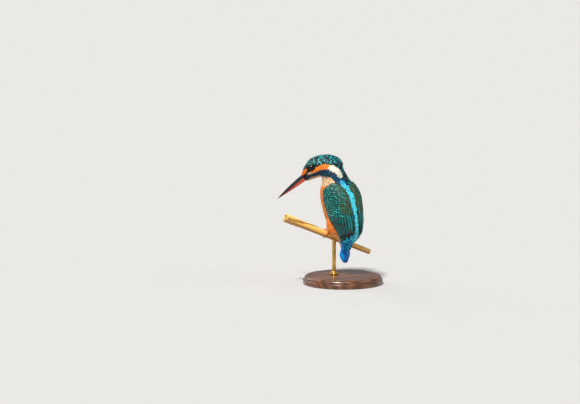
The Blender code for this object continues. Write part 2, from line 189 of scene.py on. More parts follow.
def wing_span(z):
    """Turns of the wing's inner and outer edge at a height."""
    return np.interp(-z, -WING_LEVELS, WING_INNER), np.interp(-z, -WING_LEVELS, WING_OUTER)


def wing_turn(v, u):
    """Height and turn of the place v down the wing (0 to 1) and u across it from its inner edge (0 to 1)."""
    z = between((WING_TOP, WING_TIP), v)
    return z, between(wing_span(z), u)


def wing_place(points):
    """(v, u) of points on either wing."""
    z = points[..., 2]
    inner, outer = wing_span(z)
    return (WING_TOP - z) / (WING_TOP - WING_TIP), (np.abs(body_angle(points)) - inner) / (outer - inner)


# ---- meshes

def placed(name, data):
    """A new object in the scene."""
    obj = bpy.data.objects.new(name, data)
    bpy.context.scene.collection.objects.link(obj)
    return obj


def mesh_object(name, points, faces):
    """An object from points in millimetres and a list of arrays of faces, each of faces of one size."""
    mesh = bpy.data.meshes.new(name)
    sizes = np.concatenate([np.full(len(part), part.shape[1]) for part in faces])
    corners = np.concatenate([part.ravel() for part in faces]).astype(np.int32)
    mesh.vertices.add(len(points))
    mesh.vertices.foreach_set("co", (np.asarray(points) * MM).astype(np.float32).ravel())
    mesh.loops.add(len(corners))
    mesh.loops.foreach_set("vertex_index", corners)
    mesh.polygons.add(len(sizes))
    mesh.polygons.foreach_set("loop_start", np.concatenate(([0], np.cumsum(sizes)[:-1])).astype(np.int32))
    mesh.polygons.foreach_set("use_smooth", np.full(len(sizes), True))
    mesh.update(calc_edges=True)
    return placed(name, mesh)


def ring_faces(count, size, looped=False):
    """Quads between closed rings of points, and the caps. Looped, the last ring joins the first instead."""
    k, j = np.meshgrid(np.arange(count if looped else count - 1), np.arange(size), indexing="ij")
    here, there, nj = k * size, (k + 1) % count * size, (j + 1) % size
    quads = np.stack((here + j, here + nj, there + nj, there + j), -1).reshape(-1, 4)
    caps = np.array((np.arange(size)[::-1], (count - 1) * size + np.arange(size)))
    return [quads] if looped else [quads, caps]


def loft(name, rings, looped=False):
    """A closed object from rings of points of one size, its faces turned outward."""
    obj = mesh_object(name, rings.reshape(-1, 3), ring_faces(*rings.shape[:2], looped))
    bm = bmesh.new()
    bm.from_mesh(obj.data)
    bmesh.ops.recalc_face_normals(bm, faces=bm.faces)
    bm.to_mesh(obj.data)
    bm.free()
    return obj


def give_tint(obj, colours, name="tint"):
    """A colour for each vertex, which the materials read by its name."""
    layer = obj.data.color_attributes.new(name, "FLOAT_COLOR", "POINT")
    rgba = np.ones((len(colours), 4), np.float32)
    rgba[:, :3] = np.clip(colours, 0, 1)
    layer.data.foreach_set("color", rgba.ravel())


def give_map(obj, name, places, for_corners=False):
    """A UV map from a place for each vertex, or for each corner of each face."""
    if not for_corners:
        places = places[read(obj.data.loops, "vertex_index", 1)[:, 0]]
    layer = obj.data.uv_layers.new(name=name)
    layer.data.foreach_set("uv", places.astype(np.float32).ravel())


def finished(obj, finish, slot, *replaced):
    """Gives a piece its material and enters it in the frame."""
    obj.data.materials.append(finish.made)
    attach(obj, "root")
    if replaced:
        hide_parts(*replaced)
    return obj


def mesh_arrays(mesh):
    """Vertices in millimetres, triangles and edges."""
    mesh.calc_loop_triangles()
    return vertices(mesh), read(mesh.loop_triangles, "vertices", 3), read(mesh.edges, "vertices", 2)


def remeshed(nodes, grow, voxel, passes):
    """Points, triangles and edges of one closed skin round CAD nodes, which are first grown by so much."""
    bm = bmesh.new()
    for node in nodes:
        bm.from_mesh(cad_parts[node].data)
    bmesh.ops.remove_doubles(bm, verts=bm.verts, dist=0.01 * MM)
    mesh = bpy.data.meshes.new("rough")
    bm.to_mesh(mesh)
    bm.free()
    obj = placed("rough", mesh)
    swell = obj.modifiers.new("swell", "DISPLACE")
    swell.mid_level, swell.strength = 0.0, grow * MM
    fuse = obj.modifiers.new("fuse", "REMESH")
    fuse.mode, fuse.voxel_size = "VOXEL", voxel * MM
    soften = obj.modifiers.new("soften", "SMOOTH")
    soften.factor, soften.iterations = 0.5, passes
    bpy.context.view_layer.update()
    made = bpy.data.meshes.new_from_object(obj.evaluated_get(bpy.context.evaluated_depsgraph_get()))
    arrays = mesh_arrays(made)
    bpy.data.objects.remove(obj)
    for used in (mesh, made):
        bpy.data.meshes.remove(used)
    return arrays


def gathered(index, values, count):
    """For each of count vertices, the sum of the vectors that have its index."""
    return np.stack([np.bincount(index, part, count) for part in values.T], 1)


def relaxed(values, edges, passes):
    """Unit vectors at the vertices, averaged with their neighbours that many times."""
    a, b = edges.T
    for _ in range(passes):
        values = unit(values + (gathered(a, values[b], len(values)) + gathered(b, values[a], len(values))))
    return values


def triangle_sides(points, triangles):
    """Each triangle's corners, and the vector across it whose length is twice its area."""
    a, b, c = (points[triangles[:, k]] for k in range(3))
    return a, b, c, np.cross(b - a, c - a)


def vertex_normals(points, triangles):
    face = triangle_sides(points, triangles)[-1]
    return unit(sum(gathered(triangles[:, k], face, len(points)) for k in range(3)))


# ---- the skin, and the lie of the coat over it

FLESH = ("head", "neck", "trunk", "rump", "thigh_left", "thigh_right", "wing_left", "wing_right")
SKIN_GROWTH, SKIN_VOXEL, SKIN_PASSES = 0.3, 0.75, 9
NORMAL_PASSES, LIE_PASSES = 9, 12
LID_OPEN, LID_REACH = 2.7, 6.0          # half the open eye, and how far from its middle the skin dips to it


def coat_depth(points):
    """How far the skin lies inside the coat's outside: 1.15 mm on the body, and 0.4 to 0.7 mm on the head."""
    back, _, up = head_place(points)
    face = smooth(up, -20, -8)
    return 1.15 - face * (0.75 - 0.3 * smooth(back, 14, 36))


def lie_of(points, normals):
    """The way that the coat lies: back from the bill, down the body, and along the folded wings."""
    _, _, up = head_place(points)
    chin = smooth(normals @ FORWARD, 0.25, 0.7) * smooth(-up, 2, 6)
    on_head = (smooth(up, -27, -9) * (1 - chin))[:, None]
    body = np.tile(DOWN, (len(points), 1))
    under = smooth(np.abs(body_angle(points)), 95, 150) * smooth(-points[:, 2], -80, -58)
    body[:, 1] += 0.5 * under
    body[:, 0] -= 0.012 * points[:, 0] * smooth(-points[:, 2], -70, -50)
    v, u = wing_place(points)
    of_wing = (smooth(u, -0.05, 0.15) * smooth(-u, -1.08, -0.95) * smooth(v, 0, 0.08))[:, None]
    fall, u = 0.5, np.clip(u, 0, 1)
    _, here = wing_turn(v, u)
    _, there = wing_turn(v + fall / (WING_TOP - WING_TIP), u)
    turn = np.radians(body_angle(points))
    reach = np.hypot(points[:, 0], points[:, 1] - body_middle(points[:, 2]))
    slide = np.radians(there - here) * np.sign(points[:, 0]) * reach
    along = np.stack((np.cos(turn) * slide, -np.sin(turn) * slide, np.full(len(points), -fall)), 1)
    way = unit(body) * (1 - of_wing) + unit(along) * of_wing
    way = -FORWARD * on_head + way * (1 - on_head)
    return flattened(way, normals)


class Skin:
    """The bird's one skin, with smooth normals and the lie of the coat."""

    def __init__(self):
        points, self.triangles, edges = remeshed(
            (*FLESH, "eye_left", "eye_right"), SKIN_GROWTH, SKIN_VOXEL, SKIN_PASSES
        )
        normals = relaxed(vertex_normals(points, self.triangles), edges, NORMAL_PASSES)
        points = points - normals * (coat_depth(points) + SKIN_GROWTH)[:, None]
        for side in EYES:       # the skin dips to the rim of each eye
            out, off = beside_eye(points, side)
            seat = math.sqrt(EYE_RADIUS**2 - LID_OPEN**2) - 0.10 * np.maximum(off - LID_OPEN, 0) ** 1.2
            pull = (out > 0) * (1 - smooth(off, LID_OPEN, LID_REACH)) * (seat - out)
            points = points + (pull * 0.92)[:, None] * EYE_AXES[side]
        self.points = points
        self.normals = relaxed(vertex_normals(points, self.triangles), edges, NORMAL_PASSES)
        self.lies = relaxed(lie_of(points, self.normals), edges, LIE_PASSES)
        self.tree = BVHTree.FromPolygons(points.tolist(), self.triangles.tolist())
        self.face_normals = unit(self.normals[self.triangles].mean(1))
        self.face_lies = unit(self.lies[self.triangles].mean(1))

    def near(self, points):
        """The nearest places on the skin, with their normals and lies."""
        found = [self.tree.find_nearest(point) for point in points.tolist()]
        index = np.array([hit[2] for hit in found])
        return np.array([hit[0] for hit in found]), self.face_normals[index], self.face_lies[index]

    def cast(self, origins, ways):
        """Where rays first meet the skin, as near gives it. A miss gives the place nearest its origin."""
        places = []
        for origin, way in zip(origins.tolist(), ways.tolist()):
            place = self.tree.ray_cast(origin, way)[0]
            places.append(place or self.tree.find_nearest(origin)[0])
        return self.near(np.array(places))

    def scattered(self, count):
        """Random places over the whole skin, closer together where the coat's feathers are."""
        a, b, c, face = triangle_sides(self.points, self.triangles)
        area = np.linalg.norm(face, axis=1)
        share = area / SPACING[kind_at((a + b + c) / 3)] ** 2
        pick = random.choice(len(area), count, p=share / share.sum())
        r, s = np.sqrt(random.random(count)), random.random(count)
        places = a[pick] * (1 - r)[:, None] + b[pick] * (r * (1 - s))[:, None] + c[pick] * (r * s)[:, None]
        return places, self.face_normals[pick], self.face_lies[pick]


SKIN = Skin()
RAY_START = 50.0                # from the body's middle line, outside the wings


def on_wing(side, v, u):
    """Places on the left or right wing, with their normals and lies."""
    v, u = np.broadcast_arrays(np.asarray(v, float), np.asarray(u, float))
    z, turn = wing_turn(v.ravel(), u.ravel())
    a = np.radians(turn) * (1 if side == "left" else -1)
    way = np.stack((np.sin(a), np.cos(a), np.zeros_like(a)), 1)
    middle = np.stack((np.zeros_like(z), body_middle(z), z), 1)
    return SKIN.cast(middle + way * RAY_START, -way)


# ---- markings

# Each plumage: its colour, the colour of its marks, how far apart its feathers are rooted, their length and
# width, and how high their tips stand over the skin. Then each piece of the coat: its plumages, its slot, the
# pattern of its marks, and its roughness.
PLUMAGES = {
    "belly": ((222, 104, 28), (246, 150, 70), 0.88, 4.6, 1.45, 0.95),
    "vent": ((232, 132, 60), (250, 184, 120), 0.95, 5.6, 1.6, 1.0),
    "throat": ((206, 158, 106), (238, 212, 178), 0.74, 2.8, 1.0, 0.6),
    "mantle": ((50, 44, 26), (50, 104, 78), 1.15, 4.6, 2.6, 1.05),
    "covert": ((3, 66, 62), (78, 214, 204), 1.0, 3.0, 1.9, 0.9),
    "stripe": ((0, 150, 204), (96, 246, 250), 1.1, 4.8, 1.9, 1.1),
    "rump": ((0, 112, 176), (40, 200, 226), 1.08, 6.2, 2.1, 1.0),
    "malar": ((4, 26, 50), (20, 110, 148), 0.72, 2.3, 1.1, 0.55),
    "nape": ((2, 6, 8), (34, 136, 144), 1.4, 4.3, 2.6, 0.85),
    "crown": ((2, 8, 10), (58, 204, 206), 1.42, 4.0, 2.7, 0.85),
    "white": ((192, 184, 166), (226, 221, 208), 0.7, 3.2, 1.1, 0.7),
    "ear": ((232, 100, 10), (255, 156, 58), 0.64, 2.6, 0.95, 0.6),
    "cheek": ((226, 150, 90), (246, 206, 164), 0.55, 1.5, 0.65, 0.42),
    "lore_spot": ((206, 88, 14), (240, 134, 44), 0.54, 1.5, 0.65, 0.42),
    "lore": ((15, 12, 11), (40, 32, 28), 0.52, 1.1, 0.55, 0.32),
}
GROUPS = {
    "crown": (("crown", "nape", "malar"), "crown", "bar", 0.42),
    "face": (("white", "ear", "cheek", "lore_spot", "lore"), "nape", "tip", 0.6),
    "breast": (("belly", "vent", "throat"), "body", "tip", 0.65),
    "mantle": (("mantle", "covert"), "wing", "edge", 0.5),
    "stripe": (("stripe", "rump"), "rump", "tip", 0.38),
}
KINDS = tuple(PLUMAGES)
TINTS, MARKS = (np.array([srgb(*row[k]) for row in PLUMAGES.values()]) for k in range(2))
SPACING, LENGTH, WIDTH, LIFT = (np.array([row[k] for row in PLUMAGES.values()]) for k in range(2, 6))

# Markings on the side of the head, as (back, up, half width) along their middles.
BANDS = {
    "ear": ((13.6, -0.5, 1.0), (20.0, -1.0, 1.9), (26.0, -3.0, 2.4), (29.6, -5.2, 2.2)),
    "white": ((31.0, -8.0, 2.0), (33.8, -13.6, 2.4), (36.0, -19.0, 1.5)),
    "lore_spot": ((1.2, 3.0, 0.7), (5.0, 4.3, 1.2), (9.0, 5.0, 0.5)),
    "cheek": ((8.0, 1.4, 0.4), (11.0, 0.7, 0.9), (13.6, -0.3, 0.7)),
    "lore": ((-1.0, 0.6, 0.9), (6.0, 2.2, 0.9), (12.0, 3.0, 1.6)),
    "malar": ((1.0, -2.4, 0.5), (8.9, -2.6, 1.3), (15.8, -4.6, 1.9), (22.5, -7.4, 2.5), (29.0, -15.6, 3.0),
              (33.0, -26.0, 3.2)),
}
# The crown's lower edge, as (back, up), where the nape begins, and the nape's hind edge, as (down, back).
CROWN_EDGE = ((-2, 3.3), (3, 5.9), (8, 7.2), (12, 7.6), (15.5, 7.4), (18, 4.0), (21, 1.0), (25, -0.6),
              (29, -3.0), (32, -5.5))
CROWN_END = 31.0
NAPE_EDGE = ((-4, 32.5), (4, 32.0), (8, 34.0), (14.5, 37.6), (23.0, 39.6), (34.0, 39.6))
# The bright stripe down the back, as (height, middle, half width).
BACK_STRIPE = (
    (121.0, 6.6, 0.8), (116.5, 5.0, 2.5), (110.0, 3.0, 3.9), (102.0, 1.0, 4.4), (90.0, 0.7, 3.7),
    (68.0, -0.4, 3.5), (58.0, -0.2, 4.6), (44.0, 0.0, 6.6),
)
# Heights where markings end: the tops of the rump and vent, and the lowest of the stripe, the head, the
# throat, and the head's markings over the stripe.
RUMP_TOP, VENT_TOP, STRIPE_LOW, HEAD_LOW, THROAT_LOW, OVER_STRIPE = 66.0, 60.0, 54.0, 103.0, 109.5, 117.0


def off_line(back, up, line):
    """How far points lie outside a band of (back, up, half width), and how far above its lower edge."""
    best = np.full(back.shape, 1e9)
    offset = np.zeros(back.shape)
    for (b0, u0, w0), (b1, u1, w1) in zip(line, line[1:]):
        step = np.array((b1 - b0, u1 - u0))
        across, over = back - b0, up - u0
        t = np.clip((across * step[0] + over * step[1]) / (step @ step), 0, 1)
        gap = np.hypot(across - t * step[0], over - t * step[1])
        outside = gap - (w0 + (w1 - w0) * t)
        side = np.sign(step[0] * over - step[1] * across)
        nearer = outside < best
        best[nearer] = outside[nearer]
        offset[nearer] = (side * gap + w0 + (w1 - w0) * t)[nearer]
    return best, offset


def is_kind(kinds, *names):
    return np.isin(kinds, [KINDS.index(name) for name in names])


def kind_at(points, jitter=0.0):
    """The number in KINDS of the plumage at each point. Jitter, in millimetres, roughens the borders."""
    back, _, up = head_place(points)
    z = points[:, 2] + jitter
    turn = np.abs(body_angle(points))
    v, u = wing_place(points)
    kind = np.zeros(len(points), int)

    def paint(name, where):
        kind[where] = KINDS.index(name)

    _, outer = wing_span(points[:, 2])
    paint("vent", (z < VENT_TOP) & (turn > 80))
    paint("mantle", (turn < np.where(points[:, 2] > WING_TOP, 100, outer - 2) + 3 * jitter) & (z > VENT_TOP))
    paint("covert", (u > 0.30 + 0.03 * jitter) & (u < 0.99) & (v > 0.0) & (v < 0.75))
    paint("rump", (z < RUMP_TOP) & (u < 0.55) & (turn < np.clip(60 + 2.4 * (z - 46), 60, 100)))
    high, middle, half = np.array(BACK_STRIPE).T[:, ::-1]
    off = np.abs(points[:, 0] - np.interp(z, high, middle)) - np.interp(z, high, half)
    paint("stripe", (off + 0.6 * jitter < 0) & (turn < 90) & (z > STRIPE_LOW) & (z < high[-1]))

    gaps = {name: off_line(back, up, line)[0] for name, line in BANDS.items()}
    for side in EYES:
        gaps["lore"] = np.minimum(gaps["lore"], np.linalg.norm(points - EYES[side], axis=1) - 5.1)
    top = np.interp(back, *np.array(CROWN_EDGE).T) - up
    hind = np.interp(-up, *np.array(NAPE_EDGE).T) - back
    gaps["crown"] = np.where(back < CROWN_END + jitter, top, np.minimum(top, hind))
    gaps["throat"] = off_line(back, up, BANDS["malar"])[1]
    rough = random.normal(0, 0.3, (len(gaps), len(points))) * (np.abs(jitter) > 0)
    least = np.argmin(np.array(list(gaps.values())) + rough, axis=0)
    nearest = np.array([KINDS.index(name) for name in gaps])[least]
    nearest[is_kind(nearest, "crown") & (back > CROWN_END + 1 + 7 * jitter)] = KINDS.index("nape")
    floor = 104.5 + 7.0 * smooth(-turn, -115, -85)
    throat = is_kind(nearest, "throat")
    on_head = (z > floor) & (points[:, 2] > HEAD_LOW) & (~throat | ((up > -22) & (z > THROAT_LOW)))
    on_head &= ~is_kind(kind, "stripe") | (z > OVER_STRIPE)
    kind[on_head] = nearest[on_head]
    return kind


# ---- materials

COAT_ROUGH = 0.16               # roughness of a clear coat, where a material has one


class Finish:
    """A material, and short ways to add nodes to it."""

    def __init__(self, name, rough=0.5, metal=0.0, coat=0.0, specular=0.5):
        self.made = bpy.data.materials.new(name)
        self.made.use_nodes = True
        self.tree = self.made.node_tree
        self.shader = self.tree.nodes["Principled BSDF"]
        keys = ("Roughness", "Metallic", "Coat Weight", "Coat Roughness", "Specular IOR Level")
        self.fill(self.shader, keys, (rough, metal, coat, COAT_ROUGH, specular))

    def add(self, kind, **values):
        node = self.tree.nodes.new(kind)
        for key, value in values.items():
            setattr(node, key, value)
        return node

    def put(self, socket, value):
        """Sets a socket to a number or a colour, or links it to an output."""
        if isinstance(value, bpy.types.NodeSocket):
            self.tree.links.new(value, socket)
        elif socket.type == "RGBA":
            socket.default_value = (*value, 1.0) if len(value) == 3 else value
        else:
            socket.default_value = value

    def fill(self, node, keys, values):
        """Puts values in a node's sockets of those names."""
        for key, value in zip(keys, values):
            self.put(node.inputs[key], value)

    def attribute(self, name, output="Color"):
        return self.add("ShaderNodeAttribute", attribute_name=name).outputs[output]

    def place(self, stretch=(1.0, 1.0, 1.0), source=None):
        """The object's coordinates in metres, or a given vector, scaled along each axis."""
        mapping = self.add("ShaderNodeMapping")
        self.put(mapping.inputs["Vector"], source or self.add("ShaderNodeTexCoord").outputs["Object"])
        mapping.inputs["Scale"].default_value = stretch
        return mapping.outputs["Vector"]

    def noise(self, vector, scale, detail=3.0, rough=0.6, distortion=0.0):
        node = self.add("ShaderNodeTexNoise")
        keys = ("Vector", "Scale", "Detail", "Roughness", "Distortion")
        self.fill(node, keys, (vector, scale, detail, rough, distortion))
        return node.outputs["Fac"]

    def spread(self, value, low, high, to_low=0.0, to_high=1.0):
        """The value, moved from the range low to high into the range to_low to to_high and kept in it."""
        node = self.add("ShaderNodeMapRange")
        keys = ("Value", "From Min", "From Max", "To Min", "To Max")
        self.fill(node, keys, (value, low, high, to_low, to_high))
        return node.outputs["Result"]

    def math(self, operation, *values):
        node = self.add("ShaderNodeMath", operation=operation)
        for socket, value in zip(node.inputs, values):
            self.put(socket, value)
        return node.outputs[0]

    def mixed(self, factor, a, b, blend="MIX"):
        node = self.add("ShaderNodeMix", data_type="RGBA", blend_type=blend)
        sockets = {socket.identifier: socket for socket in (*node.inputs, *node.outputs)}
        for key, value in (("Factor_Float", factor), ("A_Color", a), ("B_Color", b)):
            self.put(sockets[key], value)
        return sockets["Result_Color"]

    def shaded(self, colour, shade):
        """A colour times a grey."""
        return self.mixed(1.0, colour, shade, "MULTIPLY")

    def colour(self, source):
        self.put(self.shader.inputs["Base Color"], source)

    def tinted(self, shade):
        """Colours the surface by its own tint times a grey."""
        self.colour(self.shaded(self.attribute("tint"), shade))

    def bump(self, height, strength, distance):
        node = self.add("ShaderNodeBump")
        self.fill(node, ("Strength", "Distance", "Height"), (strength, distance * MM, height))
        self.put(self.shader.inputs["Normal"], node.outputs["Normal"])


def grained(name, rough, scale, shades, relief=None, stretch=(1.0, 1.0, 1.0), detail=(), **looks):
    """A material whose one grain mixes two colours or shades the tint, and may stand in relief.

    Shades are two colours, or the grain's range and the greys that it becomes. Relief is a bump's strength
    and distance. Detail is what noise takes after the scale.
    """
    n = Finish(name, rough, **looks)
    grain = n.noise(n.place(stretch), scale, *detail)
    if len(shades) == 2:
        n.colour(n.mixed(grain, *shades))
    else:
        n.tinted(n.spread(grain, *shades))
    if relief:
        n.bump(grain, *relief)
    return n


def plumage(name, pattern, rough, barbs=15.0):
    """Feathers: their tint, their marks, a shaft, and barbs that slant out from it.

    The pattern "bar" is a crescent near the tip, "spot" an oval, "edge" a border, and "tip" the whole tip.
    """
    n = Finish(name, rough, specular=0.25)
    apart = n.add("ShaderNodeSeparateXYZ")
    n.put(apart.inputs[0], n.attribute("Vane", "Vector"))
    aside = n.math("MULTIPLY", n.math("ABSOLUTE", n.math("SUBTRACT", apart.outputs["X"], 0.5)), 2.0)
    along = apart.outputs["Y"]
    if pattern == "bar":
        crescent = n.math("ADD", along, n.math("MULTIPLY", n.math("MULTIPLY", aside, aside), 0.10))
        mask = n.spread(n.math("ABSOLUTE", n.math("SUBTRACT", crescent, 0.88)), 0.05, 0.09, 1.0, 0.0)
    elif pattern == "spot":
        high = n.math("DIVIDE", n.math("SUBTRACT", along, 0.88), 0.09)
        wide = n.math("DIVIDE", aside, 0.44)
        reach = n.math("ADD", n.math("MULTIPLY", high, high), n.math("MULTIPLY", wide, wide))
        mask = n.spread(reach, 0.5, 1.5, 1.0, 0.0)
    elif pattern == "edge":
        mask = n.math("MAXIMUM", n.spread(aside, 0.3, 0.9, 0.0, 0.9), n.spread(along, 0.8, 0.97, 0.0, 0.9))
    else:
        mask = n.spread(along, 0.52, 0.98, 0.0, 0.95)
    tint = n.mixed(mask, n.attribute("tint"), n.attribute("mark"))
    slant = n.math("SUBTRACT", along, n.math("MULTIPLY", aside, 0.25))
    line = n.math("SINE", n.math("MULTIPLY", slant, barbs * math.tau))
    speck = n.noise(n.place(), 1500.0, 2.0)
    shade = n.math("ADD", n.spread(line, -1, 1, 0.89, 1.05), n.spread(speck, 0.3, 0.7, -0.14, 0.14))
    shaft = n.spread(aside, 0.02, 0.12, 0.82, 1.0)
    n.colour(n.shaded(tint, n.math("MULTIPLY", shade, shaft)))
    n.bump(line, 0.3, 0.05)
    return n


# ---- small feathers

# Places along a vane that have a left edge, a ridge and a right edge, and its breadth there.
RINGS = np.array((0.10, 0.40, 0.68, 0.87, 0.965))
BREADTH = np.array((0.45, 0.88, 1.0, 0.82, 0.46))
VANE_POINTS = 2 + 3 * len(RINGS)
ROOT_DEPTH, FOLLOW = 0.15, 0.25         # how deep roots lie, and how much vanes bend to the lie at each ring
PATCH = 0.003                   # size of a feather's patch on the bake map
TORN = 0.05                     # a triangle reaching over more of the map than this crosses a seam
SCATTER = 150000                # places tried for the roots
COAT_LOW, FOOT_CLEAR = 46.0, 2.6        # lowest roots, and how far they keep from the feet


def bake_places(points):
    """Places on an unwrap of the skin: the body as a sleeve below, and the head as a sleeve above it."""
    back, left, up = head_place(points)
    on_head = up > -14
    body_u = 0.5 + body_angle(points) / 360 * 0.96
    body_v = 0.02 + (points[:, 2] - 36) / 86 * 0.56
    head_u = 0.5 + np.degrees(np.arctan2(left, up + 2.5)) / 360 * 0.96
    head_v = 0.62 + (back + 2) / 50 * 0.36
    return np.stack((np.where(on_head, head_u, body_u), np.where(on_head, head_v, body_v)), 1)


def thinned(places, spacing):
    """Indices of places that keep their own spacing from the ones kept before them."""
    cell = spacing.max()
    around = [(i, j, k) for i in (0, -1, 1) for j in (0, -1, 1) for k in (0, -1, 1)]
    grid, kept = {}, []
    keys = np.floor(places / cell).astype(int).tolist()
    for index, (place, gap, key) in enumerate(zip(places.tolist(), spacing.tolist(), keys)):
        x, y, z = place
        near = (other for i, j, k in around for other in grid.get((key[0] + i, key[1] + j, key[2] + k), ()))
        if all((x - a) ** 2 + (y - b) ** 2 + (z - c) ** 2 >= gap * gap for a, b, c in near):
            kept.append(index)
            grid.setdefault(tuple(key), []).append(place)
    return np.array(kept)


def turned_ways(ways, normals, angles):
    """Ways turned about the normals."""
    c, s = np.cos(angles)[:, None], np.sin(angles)[:, None]
    return ways * c + np.cross(normals, ways) * s


# Some blue and green feathers catch the light more than others: how bright their marks are, how many of each,
# and how strongly each plumage shows it.
GLINTS, GLINT_SHARES = (0.15, 0.7, 2.2), (0.45, 0.3, 0.25)
GLINTING = {"crown": 1.0, "nape": 1.0, "malar": 0.6, "covert": 0.4, "rump": 0.5, "stripe": 0.35}
GLINT_POWER = np.array([GLINTING.get(kind, 0.0) for kind in KINDS])


def vanes(name, roots, ways, kinds, sizes, slot, finish, heights=(0.0, 0.0)):
    """A piece of small feathers. Sizes are lengths, widths and lifts. Heights raise the roots and tips."""
    lengths, widths, lifts = sizes
    count = len(roots)
    points = np.empty((count, VANE_POINTS, 3))
    shading = np.empty_like(points)
    at, normal, _ = SKIN.near(roots)
    way = flattened(ways, normal)
    points[:, 0] = at + normal * (heights[0] - ROOT_DEPTH)
    shading[:, 0] = normal
    last = 0.0
    for ring, share in enumerate((*RINGS, 1.0)):
        at, normal, lie = SKIN.near(at + way * (lengths * (share - last))[:, None])
        way = flattened(unit(way + FOLLOW * lie), normal)
        last = share
        rise = between(heights, share) + lifts * (0.12 + 0.88 * share)
        ridge = at + normal * rise[:, None]
        across = np.cross(normal, way)
        if ring == len(RINGS):
            points[:, -1] = ridge - normal * 0.06
            shading[:, -1] = unit(normal + 0.25 * way)
            continue
        half = (widths * BREADTH[ring] / 2)[:, None]
        drop = normal * (0.05 + 0.16 * half)
        first = 1 + 3 * ring
        points[:, first + 1] = ridge + normal * 0.03
        shading[:, first + 1] = unit(normal + 0.10 * way)
        for place, aside in ((first, across), (first + 2, -across)):
            points[:, place] = ridge + aside * half - drop
            shading[:, place] = unit(normal + 0.42 * aside)

    obj = mesh_object(name, points.reshape(-1, 3), vane_faces(count))
    local = np.stack((np.concatenate(([0.5], np.tile((0.0, 0.5, 1.0), len(RINGS)), [0.5])),
                      np.concatenate(([0.0], np.repeat(RINGS, 3), [1.0]))), 1)
    give_map(obj, "OFBake", (bake_places(roots)[:, None] + (local - 0.5)[None] * PATCH).reshape(-1, 2))
    give_map(obj, "Vane", np.tile(local, (count, 1)))
    glint = (random.choice(GLINTS, count, p=GLINT_SHARES) ** GLINT_POWER[kinds])[:, None]
    for layer, tints, vary, glow in (("tint", TINTS, 0.14, 1.0), ("mark", MARKS, 0.2, glint)):
        shade = random.normal(1.0, vary, (count, 1)).clip(0.6, 1.4) * glow
        give_tint(obj, np.repeat(tints[kinds] * shade, VANE_POINTS, axis=0), layer)
    obj.data.normals_split_custom_set_from_vertices(shading.reshape(-1, 3).tolist())
    return finished(obj, finish, slot)


def vane_faces(count):
    """Quads and triangles of closed three-sided vanes."""
    start = (np.arange(count) * VANE_POINTS)[:, None]
    tip = VANE_POINTS - 1
    a = tip - 3
    ends = [(0, 2, 1), (0, 3, 2), (0, 1, 3), (tip, a, a + 1), (tip, a + 1, a + 2), (tip, a + 2, a)]
    quads = []
    for a in range(1, tip - 3, 3):
        quads += [(a, a + 1, a + 4, a + 3), (a + 1, a + 2, a + 5, a + 4), (a + 2, a, a + 3, a + 5)]
    return [(start + np.ravel(part)[None]).reshape(-1, len(part[0])) for part in (quads, ends)]


# ---- the skin and its small feathers

def skin_piece():
    """The skin under the coat, with the coat's own markings."""
    obj = mesh_object("skin", SKIN.points, [SKIN.triangles])
    give_tint(obj, TINTS[kind_at(SKIN.points)])
    middles = np.repeat(bake_places(SKIN.points[SKIN.triangles].mean(1)), 3, axis=0)
    places = bake_places(SKIN.points)[SKIN.triangles.ravel()]
    torn = np.abs(places - middles).max(1) > TORN
    places[torn] = middles[torn]
    give_map(obj, "OFBake", places, for_corners=True)
    shades = (0.3, 0.7, 0.4, 0.8)
    down = grained("skin_down", 0.75, 1400.0, shades, (0.4, 0.2), (1.0, 1.0, 0.4), specular=0.2)
    finished(obj, down, "body", *FLESH)


def bare_at(kinds, places, normals):
    """Where no small feathers grow: round the eyes and feet, under the long feathers, and below the body."""
    v, u = wing_place(places)
    z = places[:, 2]
    bare = is_kind(kinds, "covert") & (u > 0.3)
    bare |= is_kind(kinds, "mantle") & (v > 0.36) & (u > -0.10)
    bare |= is_kind(kinds, "vent") & (z < 52) & (np.abs(body_angle(places)) < 105)
    bare |= (z < COAT_LOW) | ((z < COAT_LOW + 4) & (normals[:, 2] < -0.25))
    bare |= (u > np.where(v > 0.79, 0.2, -0.02)) & (u < 0.92) & (v > 0.5) & (v < 1)
    for side in EYES:
        toes = node_points("foot_" + side)
        low = np.flatnonzero(z < toes[:, 2].max() + 3)
        gap = np.linalg.norm(places[low, None] - toes[None, ::3], axis=2).min(1)
        bare[low[gap < FOOT_CLEAR]] = True
        out, off = beside_eye(places, side)
        bare |= (out > 0) & (off < LID_OPEN + 0.25)
    return bare


def coat():
    """The small feathers of the head, neck and body."""
    places, normals, lies = SKIN.scattered(SCATTER)
    kinds = kind_at(places, random.normal(0, 0.5, len(places)).clip(-1.2, 1.2))
    back, _, _ = head_place(places)
    of_head = is_kind(kinds, "crown", "nape", "malar", "ear", "throat", "white")
    growth = np.where(of_head, smooth(back, -6, 22) * 0.45 + 0.55, 1.0)
    for side in EYES:
        out, off = beside_eye(places, side)
        growth *= np.where(out > -4, 0.45 + 0.55 * smooth(off, 4.0, 9.0), 1.0)
    growth *= np.where(is_kind(kinds, "mantle") & (wing_place(places)[1] > 0), 1.35, 1.0)
    pick = np.flatnonzero(~bare_at(kinds, places, normals))
    pick = pick[thinned(places[pick], (SPACING[kinds] * growth)[pick])]
    places, lies, kinds, growth = places[pick], lies[pick], kinds[pick], growth[pick]
    _, normals, _ = SKIN.near(places)
    ways = turned_ways(lies, normals, random.normal(0, 0.10, len(places)))
    sizes = np.array((LENGTH[kinds] * growth, WIDTH[kinds] * growth, LIFT[kinds] * (0.4 + 0.6 * growth)))
    sizes *= random.normal(1.0, 0.1, sizes.shape).clip(0.75, 1.25)
    for name, (members, slot, pattern, rough) in GROUPS.items():
        name, mine = "plumage_" + name, is_kind(kinds, *members)
        finish = plumage(name, pattern, rough)
        vanes(name, places[mine], ways[mine], kinds[mine], sizes[:, mine], slot, finish)


